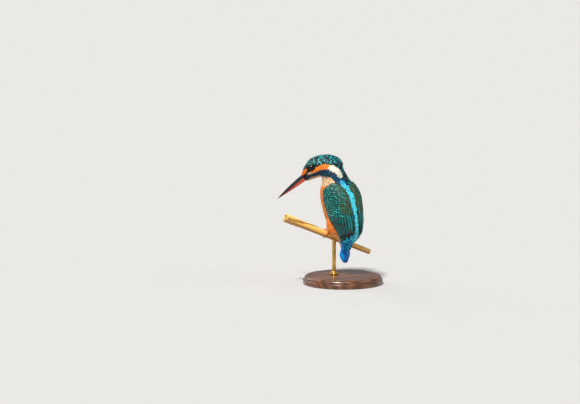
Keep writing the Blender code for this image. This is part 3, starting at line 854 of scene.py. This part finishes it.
# Rows of coverts down the wing: place of the roots, length, width, height over the skin.
COVERT_ROWS = (
    *((v, 3.8 + 2.4 * v, 2.3 + 1.1 * v, 0.45 + 0.5 * (1 - v)) for v in np.arange(-0.02, 0.40, 0.032)),
    (0.42, 6.0, 2.6, 0.75), (0.46, 7.0, 2.9, 0.7), (0.50, 7.5, 3.0, 0.65),
)
COVERT_INNER = 0.14             # where the rows start, across the wing
WING_RADIUS = 21.0              # from the body's middle line to the wing
# Rows of scapulars down the wing, and where they grow across it.
SCAPULAR_ROWS, SCAPULARS_ACROSS = (0.40, 0.36, 0.32, 0.28), np.arange(0.05, 0.25, 0.055)


def coverts():
    """Rows of spotted feathers over the upper wing."""
    finish = plumage("coverts", "spot", 0.42)
    for side in EYES:
        roots, ways, sizes = [], [], []
        for row, (v, length, width, lift) in enumerate(COVERT_ROWS):
            _, turn = wing_turn(np.array(max(v, 0.0)), np.array((0.0, 1.0)))
            breadth = WING_RADIUS * math.radians(turn[1] - turn[0])
            count = max(4, round((1 - COVERT_INNER) * breadth / (0.68 * width)))
            step = np.arange(count) + 0.5 * (row % 2) + random.normal(0, 0.14, count)
            u = COVERT_INNER + (1 - COVERT_INNER) * step / count
            places, _, lies = on_wing(side, v + random.normal(0, 0.005, count), u.clip(0.1, 1.0))
            roots.append(places)
            ways.append(lies)
            sizes.append(np.tile((length, width, lift), (count, 1)) * random.normal(1, 0.08, (count, 3)))
        roots, ways, sizes = np.concatenate(roots), np.concatenate(ways), np.concatenate(sizes)
        kinds = np.full(len(roots), KINDS.index("covert"))
        vanes(f"wing_{side}_coverts", roots, ways, kinds, sizes.T, "wing", finish, (0.35, 0.45))


def scapulars():
    """Broad feathers from the back over the roots of the tertials."""
    finish = plumage("scapulars", "edge", 0.5)
    for side in EYES:
        rows = [(v, u) for v in SCAPULAR_ROWS for u in SCAPULARS_ACROSS + random.uniform(0, 0.02)]
        v, u = (np.array(rows) + random.normal(0, 0.008, (len(rows), 2))).T
        roots, _, lies = on_wing(side, v, u)
        sizes = np.array((6.0, 3.1, 0.5))[:, None] * random.normal(1, 0.08, (3, len(rows)))
        kinds = np.full(len(rows), KINDS.index("mantle"))
        vanes(f"wing_{side}_scapulars", roots, lies, kinds, sizes, "wing", finish, (0.7, 1.35))


# ---- long feathers

SPREAD = np.array((-1.0, -0.66, -0.3, 0.0, 0.3, 0.66, 1.0))     # places across a long vane
BAKE_COLUMNS, BAKE_MARGIN = 8, 0.006    # patches across the bake map, and the bare edge round each
FEATHER_TINTS = {name: srgb(*colour) for name, colour in {
    "web_edge": (28, 156, 152), "web": (8, 104, 104), "web_dark": (10, 52, 54), "quill": (16, 12, 11),
    "inner": (40, 29, 24), "tail_edge": (24, 164, 228), "tail": (0, 114, 202), "tail_dark": (0, 74, 150),
    "rump": (26, 170, 226), "rump_dark": (0, 104, 186), "vent": PLUMAGES["vent"][1],
    "vent_dark": PLUMAGES["vent"][0],
}.items()}
# Colours across a vane, from its outer edge to its inner one.
FLIGHT = ("web_edge", "web", "web_dark", "quill", "inner", "inner", "inner")
TERTIAL = ("web_edge", "web", "web", "quill", "web_dark", "web_dark", "inner")
TAIL = ("tail_edge", "tail", "tail", "quill", "tail", "tail", "tail_dark")
RUMP = ("rump", "rump", "rump_dark", "rump_dark", "rump_dark", "rump", "rump")
VENT = ("vent", "vent", "vent_dark", "vent_dark", "vent_dark", "vent", "vent")


def web_width(t, full, tip_round):
    """Half width of a web along a vane: a narrow root, an even middle and a rounded tip."""
    grow = 0.5 + 0.5 * smooth(t, 0.0, 0.25)
    end = np.sqrt(np.clip(1 - ((t - (1 - tip_round)) / tip_round).clip(0, 1) ** 2, 0, 1))
    return np.maximum(full * grow * end, 0.04)


def long_vane(points, normals, outer, inner, colours, heights, outer_first, worn=0.6):
    """Rings of points over a vane, with one beneath, and their colours. Outer and inner are web widths."""
    t = np.linspace(0, 1, len(points))
    ways = unit(np.gradient(points, axis=0))
    across = unit(np.cross(normals, ways))
    webs = (web_width(t, outer, 0.18), web_width(t, inner, 0.14))
    left, right = webs if outer_first else webs[::-1]
    width = np.where(SPREAD < 0, left[:, None], right[:, None]) * SPREAD
    lean = 0.13 * SPREAD * (-1 if outer_first else 1)
    drop = 0.10 * np.abs(SPREAD) + 0.012 * width**2 - lean
    height = np.linspace(*heights, len(points))[:, None]
    rise = normals[:, None] * (height - drop)[..., None]
    ring = points[:, None] + across[:, None] * width[..., None] + rise
    under = points + normals * (height - 0.22)
    row = np.array([FEATHER_TINTS[name] for name in (colours if outer_first else colours[::-1])])
    shade = random.normal(1.0, 0.08) * (1 - worn * smooth(t, 0.84, 1.0))[:, None, None]
    tints = row[None] * shade
    return np.concatenate((ring, under[:, None]), 1), np.concatenate((tints, tints[:, 3:4]), 1)


def long_vanes(name, feathers, slot, finish, *replaced):
    """One piece from long vanes, each in a patch of its own on the bake map."""
    points, tints, quads, caps, places, local = [], [], [], [], [], []
    start = 0
    across = np.append(np.linspace(0, 1, len(SPREAD)), 0.5)
    for index, (rings, colours) in enumerate(feathers):
        count, size = rings.shape[:2]
        sides, ends = ring_faces(count, size)
        quads.append(start + sides[:, ::-1])
        caps.append(start + ends[:, ::-1])
        along = np.linspace(0, 1, count)[:, None]
        grid = np.stack(np.broadcast_arrays(across, along), -1).reshape(-1, 2)
        corner = np.array((index % BAKE_COLUMNS, index // BAKE_COLUMNS)) / BAKE_COLUMNS
        places.append(corner + BAKE_MARGIN + grid * (1 / BAKE_COLUMNS - 2 * BAKE_MARGIN))
        local.append(grid)
        points.append(rings.reshape(-1, 3))
        tints.append(colours.reshape(-1, 3))
        start += count * size
    obj = mesh_object(name, np.concatenate(points), [np.concatenate(quads), np.concatenate(caps)])
    give_map(obj, "OFBake", np.concatenate(places))
    give_map(obj, "Vane", np.concatenate(local))
    for layer, share in (("tint", 1.0), ("mark", 0.8)):
        give_tint(obj, np.concatenate(tints) * share, layer)
    return finished(obj, finish, slot, *replaced)


# Layers of a folded wing from the lowest: how many feathers; v of the roots; u of the first and last root;
# v and u of the first and last tip; widths of the outer and inner web; heights of the roots and of the first
# and last tip; colours.
WING_LAYERS = (
    (8, 0.48, (0.50, 0.97), (0.90, 1.03), (0.10, 0.72), (1.3, 2.2), (0.35, 1.0, 0.35), FLIGHT),
    (8, 0.44, (0.20, 0.82), (0.82, 0.89), (0.10, 0.60), (1.6, 2.6), (0.75, 1.35, 1.0), FLIGHT),
    (3, 0.38, (0.02, 0.16), (0.84, 0.74), (-0.02, 0.10), (2.2, 2.4), (1.1, 1.5, 1.35), TERTIAL),
    (10, 0.42, (0.24, 0.95), (0.65, 0.64), (0.22, 0.93), (1.4, 1.7), (0.8, 1.75, 1.25), TERTIAL),
)
VANE_RINGS, TAIL_RINGS = 16, 12
TAIL_RAY = 40.0                 # how far off the rays start that find the roots of the tail's coverts


def flight_feathers():
    """Primaries, secondaries, tertials and greater coverts of both wings."""
    finish = plumage("quills", "tip", 0.4, barbs=60.0)
    t = np.linspace(0, 1, VANE_RINGS)
    for side in EYES:
        feathers = []
        for count, root_v, root_u, tip_v, tip_u, webs, heights, colours in WING_LAYERS:
            for share in np.linspace(0, 1, count):
                v = between((root_v, between(tip_v, share)), t)
                u = between((between(root_u, share), between(tip_u, share)), t)
                points, normals, _ = on_wing(side, v + random.normal(0, 0.003), u)
                rise = (heights[0], between(heights[1:], share))
                feathers.append(long_vane(points, normals, *webs, colours, rise, side == "left"))
        long_vanes(f"wing_{side}_quills", feathers, "wing", finish)


def tail_feathers():
    """Six pairs of tail feathers, the middle pair on top."""
    low, high = node_box("tail")
    t = np.linspace(0, 1, TAIL_RINGS)
    feathers = []
    for pair in range(5, -1, -1):
        for sign in (1, -1):
            length = high[2] + 1.0 - low[2] - 0.5 * pair**1.6
            x = sign * (0.5 + 0.28 * pair + (0.8 + 0.72 * pair) * t)
            y = 5.95 - 1.1 * t - 0.13 * np.abs(x) - 0.13 * pair
            points = np.stack((x, y, high[2] + 1.0 - length * t), 1)
            normals = unit(np.stack((0.16 * np.sign(x), np.ones(TAIL_RINGS), np.full(TAIL_RINGS, 0.04)), 1))
            feathers.append(long_vane(points, normals, 1.9, 2.4, TAIL, (0, 0), sign > 0, worn=0.3))
    long_vanes("tail_feathers", feathers, "tail", plumage("tail_vanes", "tip", 0.4, barbs=50.0), "tail")


def covert_to_tail(origin, way, tip, facing, colours):
    """A long feather from where a ray meets the skin to a place on the tail."""
    t = np.linspace(0, 1, TAIL_RINGS)[:, None]
    root, normal, lie = SKIN.cast(np.array([origin]), np.array([way]))
    middle = root[0] + lie[0] * 0.35 * np.linalg.norm(tip - root[0])
    points = root * (1 - t) ** 2 + middle * 2 * t * (1 - t) + tip * t * t
    normals = unit(normal * (1 - t) + np.array(facing) * t)
    return long_vane(points, normals, 1.3, 1.3, colours, (-0.7, 0.3), outer_first=True, worn=0.0)


def tail_coverts():
    """Long feathers that bridge the body and the tail: blue above, orange below and at the sides."""
    for name, facing, y_tip, colours, slot in (
        ("tail_coverts_upper", 1.0, 5.9, RUMP, "rump"), ("tail_coverts_under", -1.0, 4.1, VENT, "body"),
    ):
        feathers = []
        for z, reach, spread_out in ((46.0, 35.5, 4.4), (48.5, 38.0, 5.8), (51.0, 40.5, 7.0)):
            for x in np.linspace(-1, 1, 9) * spread_out:
                y = y_tip + facing * 0.14 * (z - 46) - 0.13 * abs(x)
                tip = np.array((x * 0.85, y, reach + 0.5 * abs(x)))
                origin, way = (x, TAIL_RAY * facing, z + 0.1 * abs(x)), (0.0, -facing, 0.0)
                feathers.append(covert_to_tail(origin, way, tip, (0.1 * np.sign(x), facing, 0.1), colours))
        for side in (1.0, -1.0):
            for z, reach in ((46.0, 36.5), (49.0, 38.5), (52.0, 41.0)):
                for y in ((5.0, 7.0, 9.0) if facing > 0 else (-0.5, 1.2, 3.0)):
                    tip = np.array((side * 5.6, 4.9 + 0.14 * (y - 4), reach + 0.2 * abs(y - 4)))
                    origin, way = (side * TAIL_RAY, y, z), (-side, 0.0, 0.0)
                    feathers.append(covert_to_tail(origin, way, tip, (side, 0.3 * facing, 0.1), colours))
        long_vanes(name, feathers, slot, plumage(name, "tip", 0.45, barbs=30.0))


# ---- eyes, bill and feet

def eyes():
    """Dark glossy eyes, each with a bare rim of lid."""
    gloss = grained("eye_gloss", 0.07, 1500.0, (0.3, 0.7, 0.7, 1.3), specular=0.3)
    rim = grained("eyelid", 0.5, 2500.0, (srgb(20, 16, 15), srgb(52, 42, 38)), (0.5, 0.05))
    turn, section = circle(64), circle(10)[:, None, None]
    a, b = np.meshgrid(np.linspace(0.02, math.pi - 0.02, 40), turn, indexing="ij")
    ball = np.stack((np.cos(a), np.sin(a) * np.cos(b), np.sin(a) * np.sin(b)), -1)
    for side, eye in EYES.items():
        axis = EYE_AXES[side]
        obj = loft(f"eye_{side}_ball", eye + EYE_RADIUS * ball @ np.array((axis, FORWARD, UP)))
        _, off = beside_eye(vertices(obj.data), side)
        give_tint(obj, blended(smooth(off, 1.6, 1.9), srgb(4, 3, 3), srgb(20, 11, 8)))
        finished(obj, gloss, "eye", "eye_" + side)

        flat = np.outer(np.cos(turn), FORWARD) + np.outer(np.sin(turn), UP)
        opening = math.asin(LID_OPEN / EYE_RADIUS) - 0.07 * np.sin(turn) ** 2 + 0.03 * np.cos(turn) ** 6
        out = axis * np.cos(opening)[:, None] + flat * np.sin(opening)[:, None]
        across = flattened(flat, out)
        thick = (0.26 + 0.06 * np.sin(turn))[:, None]
        shape = 0.7 * np.sin(section) * out + np.cos(section) * across
        lid = loft(f"eyelid_{side}", eye + (EYE_RADIUS + 0.02) * out + thick * shape, looped=True)
        finished(lid, rim, "eye")


BILL_LENGTH = 35.6
# Along the bill: share of its length, half width, height of the culmen, depth of the keel.
BILL = (
    (-0.064, 3.8, 4.3, 3.6), (0.0, 3.7, 4.25, 3.5), (0.12, 3.2, 4.1, 3.25), (0.3, 2.55, 3.7, 2.75),
    (0.5, 1.95, 3.05, 2.1), (0.7, 1.4, 2.2, 1.4), (0.86, 0.85, 1.3, 0.75), (0.96, 0.42, 0.58, 0.35),
    (1.0, 0.2, 0.22, 0.18),
)
NOSTRIL = (0.085, 2.2)          # share of the length, and height over the gape


def bill():
    """The two halves of the bill: a ridged black upper with nostrils, and a red lower with a dusky tip."""
    share = np.linspace(BILL[0][0], 1.0, 120)
    wide, top, keel = flowing(share, BILL)
    a = np.linspace(0, math.pi, 41)
    floor = np.linspace(1, -1, 9)[1:-1]
    halves = (("bill_upper", top, 1, "bill_black"), ("bill_lower", keel, -1, "bill_red"))
    for name, rise, sign, slot in halves:
        side = np.outer(wide, np.sign(np.cos(a)) * np.abs(np.cos(a)) ** 1.1)
        high = np.outer(rise, np.sin(a) ** 1.2)
        groove = np.exp(-(((high - 0.30 * rise[:, None]) / (0.10 * rise[:, None] + 0.1)) ** 2))
        side *= 1 - 0.05 * groove * smooth(share, -0.1, 0.1)[:, None] * (1 - smooth(share, 0.6, 0.9))[:, None]
        slit = np.zeros_like(high)
        if sign > 0:
            slit = np.exp(-((((share - NOSTRIL[0]) * BILL_LENGTH) / 1.5) ** 4)[:, None]
                          - ((high - NOSTRIL[1] - 6 * (share[:, None] - NOSTRIL[0])) / 0.34) ** 4)
            side *= 1 - 0.10 * slit
        side = np.hstack((side, np.outer(wide, -floor)))
        high = np.hstack((high, np.full((len(share), len(floor)), -0.03)))
        ahead = np.repeat(share[:, None] * BILL_LENGTH, side.shape[1], 1)
        obj = loft(name + "_horn", from_head(ahead, side, sign * (high + 0.03)))
        share_at = np.repeat(share, side.shape[1])
        if sign > 0:
            tint = blended(smooth(share_at, 0.0, 0.9), srgb(20, 27, 36), srgb(10, 11, 14))
            # Painted shade: the nostril slits are painted darker, as shade inside their openings.
            nostril_shade = np.hstack((slit, np.zeros((len(share), len(floor))))).ravel()
            tint = tint * (1 - 0.8 * nostril_shade[:, None])
        else:
            tint = blended(smooth(share_at, 0.1, 0.7), srgb(222, 84, 30), srgb(160, 44, 16))
            tint = between((tint, srgb(44, 26, 24)), smooth(share_at, 0.80, 0.95)[:, None])
        give_tint(obj, tint)
        rough, shades = 0.34 if sign > 0 else 0.36, (0.25, 0.75, 0.72, 1.25)
        horn = grained(name + "_horn", rough, 420.0, shades, (0.25, 0.06), detail=(4.0, 0.7, 0.6), coat=0.2)
        finished(obj, horn, slot, name)


# The reed where the CAD has it, and the axes along it, to its front and above it.
PERCH_MIDDLE = np.array((10.7, -13.9, 53.4))
PERCH_LENGTH, PERCH_SLOPE, PERCH_TURN = 108.0, math.radians(23.5), math.radians(18.4)
# The reed's radii at its high and low end, and its section's height over its width. Then its joint: the share
# of the length where it lies, and how far it stands out.
PERCH_RADII, PERCH_FLAT = (5.0, 3.3), 0.86
NODE_AT, NODE_SWELL = 0.70, 0.5
PERCH_LEVEL = np.array((math.cos(PERCH_TURN), -math.sin(PERCH_TURN), 0.0))
PERCH_ALONG = PERCH_LEVEL * math.cos(PERCH_SLOPE) - DOWN * math.sin(PERCH_SLOPE)
PERCH_FRONT = unit(np.cross(DOWN, PERCH_ALONG))
PERCH_ABOVE = np.cross(PERCH_FRONT, PERCH_ALONG)
SCUTE, SCUTE_RELIEF = 0.85, 0.11        # length and relief of the scales on the toes
TOE_REACH = 5.6                 # from the reed's middle line to the toes


def feet():
    """Scaly red feet, and black claws."""
    skin = grained("foot_scales", 0.42, 1800.0, (0.3, 0.7, 0.85, 1.12), (0.35, 0.06), coat=0.15)
    horn = grained("claw_horn", 0.28, 900.0, (srgb(14, 12, 12), srgb(48, 40, 36)), (0.3, 0.04), coat=0.3)
    for side in EYES:
        points, triangles, edges = remeshed(("foot_" + side,), grow=0.08, voxel=0.2, passes=4)
        normals = relaxed(vertex_normals(points, triangles), edges, 2)
        away = points - PERCH_MIDDLE
        front, above = away @ PERCH_FRONT, away @ PERCH_ABOVE
        along_toe = np.arctan2(front, above) * TOE_REACH
        ridge = np.abs(np.sin(math.pi * along_toe / SCUTE)) ** 0.5
        outer = smooth((normals @ PERCH_FRONT) * front + (normals @ PERCH_ABOVE) * above, 0.0, 3.0)
        points += normals * (SCUTE_RELIEF * (ridge - 0.6) * outer)[:, None]
        obj = mesh_object(f"foot_{side}_scales", points, [triangles])
        # Painted shade: the grooves between the scales are painted a darker red.
        groove_shade = np.clip((1 - ridge) * outer * 1.3, 0, 1)
        give_tint(obj, blended(groove_shade, srgb(236, 102, 44), srgb(138, 44, 18)))
        finished(obj, skin, "foot", "foot_" + side)
        for toe in ("inner", "middle", "outer", "hind"):
            node = f"claw_{side}_{toe}"
            points, triangles, _ = remeshed((node,), grow=0.10, voxel=0.1, passes=3)
            finished(mesh_object(node + "_horn", points, [triangles]), horn, "claw", node)


# ---- the reed and the stand

# The torn sheath: share of the reed that it reaches down to, and half its width and its turn round the reed.
SHEATH_END, SHEATH_HALF, SHEATH_TURN, SHEATH_THICK = 0.40, math.radians(128), math.radians(38), 0.22


def reed_radius(share, angle):
    """The reed's radius at a share of its length from the high end, with its joint and ribs."""
    swell = NODE_SWELL * np.exp(-(((share - NODE_AT) / 0.016) ** 2))
    swell = swell - 0.35 * np.exp(-(((share - NODE_AT - 0.012) / 0.004) ** 2))
    ribs = 0.055 * np.sin(23 * angle + 1.5 * np.sin(5 * share)) + 0.04 * np.sin(37 * angle + 9 * share)
    wander = 0.10 * np.sin(2 * angle + 7 * share) + 0.07 * np.sin(3 * angle - 11 * share)
    return between(PERCH_RADII, share) + swell + ribs + wander - 0.12


def round_reed(place, angle, radius):
    """Points round the reed's middle line, at distances along it from its middle."""
    return (
        PERCH_MIDDLE + place[..., None] * PERCH_ALONG + (radius * np.sin(angle))[..., None] * PERCH_FRONT
        + (radius * np.cos(angle) * PERCH_FLAT)[..., None] * PERCH_ABOVE
    )


def reed_piece(name, place, angle, radius, tint, finish, *replaced):
    """A lofted piece of reed, whose grain runs along it without a seam."""
    obj = loft(name, round_reed(place, angle, radius))
    grain = np.stack((np.cos(angle), np.sin(angle), place / 60.0), -1).reshape(-1, 3)
    layer = obj.data.attributes.new("grain", "FLOAT_VECTOR", "POINT")
    layer.data.foreach_set("vector", grain.astype(np.float32).ravel())
    give_tint(obj, tint.reshape(-1, 3))
    finished(obj, finish, "reed", *replaced)


def reed():
    """A cut length of dry reed, ribbed, with a joint, hollow ends and the torn sheath of a leaf."""
    n = Finish("dry_reed", 0.48, coat=0.08)
    grain = n.attribute("grain", "Vector")
    fibre = n.noise(n.place((9.0, 9.0, 0.5), grain), 2.2, 6.0, 0.72)
    blotch = n.noise(n.place((1.0, 1.0, 1.2), grain), 2.6, 4.0, 0.65)
    dirty = n.mixed(n.spread(blotch, 0.52, 0.72), n.attribute("tint"), srgb(124, 72, 32))
    n.colour(n.shaded(dirty, n.spread(fibre, 0.3, 0.7, 0.58, 1.22)))
    n.bump(fibre, 0.5, 0.12)

    share, turn = np.linspace(0, 1, 260)[:, None], circle(96)[None]
    radius = reed_radius(share, turn)
    place = np.broadcast_to((0.5 - share) * PERCH_LENGTH, radius.shape)
    wall, depth, rim = 0.8, 5.0, 0.3
    bores = [np.maximum(radius[end] - wall, 0.5) for end in (0, -1)]
    radius = np.vstack([bores[0] * 0.9, bores[0], radius, bores[1], bores[1] * 0.9])
    place = np.vstack([place[0] - depth, place[0] - rim, place, place[-1] + rim, place[-1] + depth])
    angle = np.broadcast_to(turn, radius.shape)
    # Painted shade: the reed's top is straw, and its underside is painted darker and browner, as if shaded
    # from above.
    under = smooth(-np.cos(angle), -0.3, 0.9) * 0.8
    tint = blended(under, srgb(254, 202, 102), srgb(176, 108, 46))
    near_joint = np.exp(-(((0.5 - place / PERCH_LENGTH - NODE_AT) / 0.02) ** 2))
    tint = between((tint, srgb(84, 50, 26)), (0.75 * near_joint)[..., None])
    # Painted shade: the bottoms of the hollow ends are painted nearly black.
    tint[[0, -1]] *= 0.08
    reed_piece("reed", place, angle, radius, tint, n, "perch")

    share, across = np.linspace(0.01, SHEATH_END, 90)[:, None], np.linspace(-1, 1, 40)[None]
    half = SHEATH_HALF * np.sqrt(np.clip(1 - (share / SHEATH_END) ** 1.6, 0.0004, 1))
    fray = 0.07 * np.sin(90 * share) * np.sign(across) * np.abs(across) ** 8
    angle = SHEATH_TURN + half * across + 0.8 * share + fray
    lift = 0.16 + 0.5 * np.abs(across) ** 5 * (1 - share)
    inner = reed_radius(share, angle) + lift
    outer = inner + SHEATH_THICK
    angle = np.hstack((angle, angle[:, ::-1]))
    radius = np.hstack((outer, inner[:, ::-1]))
    place = np.broadcast_to((0.5 - share) * PERCH_LENGTH, radius.shape)
    edge = smooth(np.abs(np.hstack((across, across[:, ::-1]))), 0.55, 1.0) * np.ones_like(radius)
    tint = blended(edge * 0.75, srgb(255, 208, 110), srgb(150, 80, 30))
    reed_piece("reed_sheath", place, angle, radius, tint, n)


def node_round(name):
    """A turned CAD node's middle, radius, bottom and top."""
    low, high = node_box(name)
    return (low + high) / 2, (high[0] - low[0]) / 2, low[2], high[2]


def turned(name, profile, middle, finish, slot, *replaced):
    """A turned piece from a smooth profile of (radius, height)."""
    angle = circle(128)
    radius, height = np.array(profile).T
    x, y = middle[0] + np.outer(radius, np.cos(angle)), middle[1] + np.outer(radius, np.sin(angle))
    obj = loft(name, np.stack((x, y, np.repeat(height[:, None], len(angle), 1)), -1))
    obj.data.set_sharp_from_angle(angle=math.radians(50))
    return finished(obj, finish, slot, *replaced)


def arc(middle, radius, first, last, count=8):
    """Points of an arc in a turned profile, its angles in degrees."""
    a = np.radians(np.linspace(first, last, count))
    return [(middle[0] + radius * math.cos(k), middle[1] + radius * math.sin(k)) for k in a]


def stand():
    """A turned walnut base, and a brass rod in a collar."""
    n = wood = Finish("walnut", 0.34, coat=0.25)
    warp = n.noise(n.place((6.0, 30.0, 30.0)), 1.6, 3.0)
    rings = n.add("ShaderNodeTexWave", wave_type="RINGS", rings_direction="X")
    keys = ("Vector", "Scale", "Distortion", "Detail", "Detail Scale")
    n.fill(rings, keys, (n.place((0.6, 5.0, 9.0)), 9.0, 5.0, 3.0, 1.5))
    pores = n.noise(n.place((25.0, 420.0, 420.0)), 4.0, 2.0)
    grain = n.mixed(n.spread(rings.outputs["Fac"], 0.1, 0.9), srgb(74, 42, 24), srgb(122, 76, 46))
    grain = n.mixed(n.spread(warp, 0.35, 0.7, 0.0, 0.6), grain, srgb(58, 32, 19))
    n.colour(n.shaded(grain, n.spread(pores, 0.35, 0.5, 0.7, 1.05)))
    n.bump(pores, 0.25, 0.08)
    middle, radius, _, top = node_round("stand_base")
    profile = [
        (0.5, 0.0), *arc((radius - 1.2, 1.2), 1.2, -90, 0), *arc((radius - 0.6, 4.2), 0.6, 0, 90, 5),
        *arc((radius - 0.9, 5.2), 0.45, 270, 180, 5), *arc((radius - 4.4, top - 3.2), 3.2, 0, 90, 12),
        *arc((radius - 8.0, top), 0.35, 0, -180, 5), (0.5, top),
    ]
    turned("base_turned", profile, middle, wood, "stand_wood", "stand_base")

    n = brass = Finish("brass", 0.26, metal=1.0)
    brushed = n.noise(n.place((60.0, 60.0, 900.0)), 1.0, 3.0)
    tarnish = n.noise(n.place(), 160.0, 4.0)
    n.colour(n.mixed(n.spread(tarnish, 0.4, 0.75), srgb(214, 176, 96), srgb(176, 136, 70)))
    n.put(n.shader.inputs["Roughness"], n.spread(brushed, 0.3, 0.7, 0.18, 0.36))
    middle, radius, bottom, top = node_round("stand_collar")
    profile = [
        (2.4, bottom), *arc((radius - 0.3, bottom + 0.3), 0.3, -90, 0, 4), (radius, bottom + 0.8),
        *arc((radius, bottom + 2.1), 1.2, 250, 170, 8), *arc((3.3, top - 0.5), 0.5, 0, 90, 6), (2.4, top),
    ]
    turned("collar_turned", profile, middle, brass, "stand_brass", "stand_collar")
    middle, radius, bottom, top = node_round("stand_rod")
    profile = [(0.3, bottom - 0.4), (radius, bottom - 0.4), (radius, top)]
    turned("rod_turned", profile, middle, brass, "stand_brass", "stand_rod")


# ---- floor, light and camera

# The camera: the place it looks at, its turn and height in degrees, its distance, and its lens.
LOOK_AT = Vector((44.7, -37.5, 90.2))
AZIMUTH, ELEVATION, DISTANCE, LENS = 142.0, 8.0, 3500.0, 197.5
# Each light: the turn and height that it comes from, its strength, its softness in degrees, and its colour.
LIGHTS = {
    "key": (118.0, 57.0, 5.4, 8.0, (1.0, 0.96, 0.90)),
    "fill": (220.0, 35.0, 0.5, 40.0, (0.90, 0.95, 1.0)),
    "front": (10.0, 30.0, 0.8, 40.0, (1.0, 1.0, 1.0)),
}
FLOOR_HALF = 40000.0            # half the floor's width


def aimed(name, data, azimuth, elevation):
    """A new camera or light that faces the model from a turn and a height in degrees, and the way to it."""
    turn, height = math.radians(azimuth), math.radians(elevation)
    back = Vector((math.sin(turn) * math.cos(height), -math.cos(turn) * math.cos(height), math.sin(height)))
    obj = placed(name, data)
    obj.rotation_mode = "QUATERNION"
    obj.rotation_quaternion = back.to_track_quat("Z", "Y")
    return obj, back


def camera():
    data = bpy.data.cameras.new("camera")
    data.lens, data.sensor_width = LENS, 36.0
    data.clip_start, data.clip_end = 0.1, 100.0
    obj, back = aimed("camera", data, AZIMUTH, ELEVATION)
    obj.location = (LOOK_AT + back * DISTANCE) * MM
    bpy.context.scene.camera = obj


def studio():
    """The floor, the lights and the light of the room."""
    corners = np.array(((-1, -1, 0), (1, -1, 0), (1, 1, 0), (-1, 1, 0))) * FLOOR_HALF
    floor = mesh_object("floor", corners, [np.arange(4)[None]])
    greys = ((0.42, 0.42, 0.42), (0.445, 0.445, 0.445))
    floor.data.materials.append(grained("floor_paper", 0.9, 30.0, greys, specular=0.1).made)
    world = bpy.context.scene.world = bpy.data.worlds.new("studio")
    world.use_nodes = True
    background = world.node_tree.nodes["Background"]
    background.inputs["Color"].default_value = (0.90, 0.94, 1.0, 1)
    background.inputs["Strength"].default_value = 0.32
    for name, (azimuth, elevation, strength, softness, colour) in LIGHTS.items():
        data = bpy.data.lights.new(name, "SUN")
        data.energy, data.angle, data.color = strength, math.radians(softness), colour
        aimed(name, data, azimuth, elevation)
    bpy.context.scene.view_settings.view_transform = "Standard"


skin_piece()
coat()
coverts()
scapulars()
flight_feathers()
tail_feathers()
tail_coverts()
eyes()
bill()
feet()
reed()
stand()
camera()
studio()
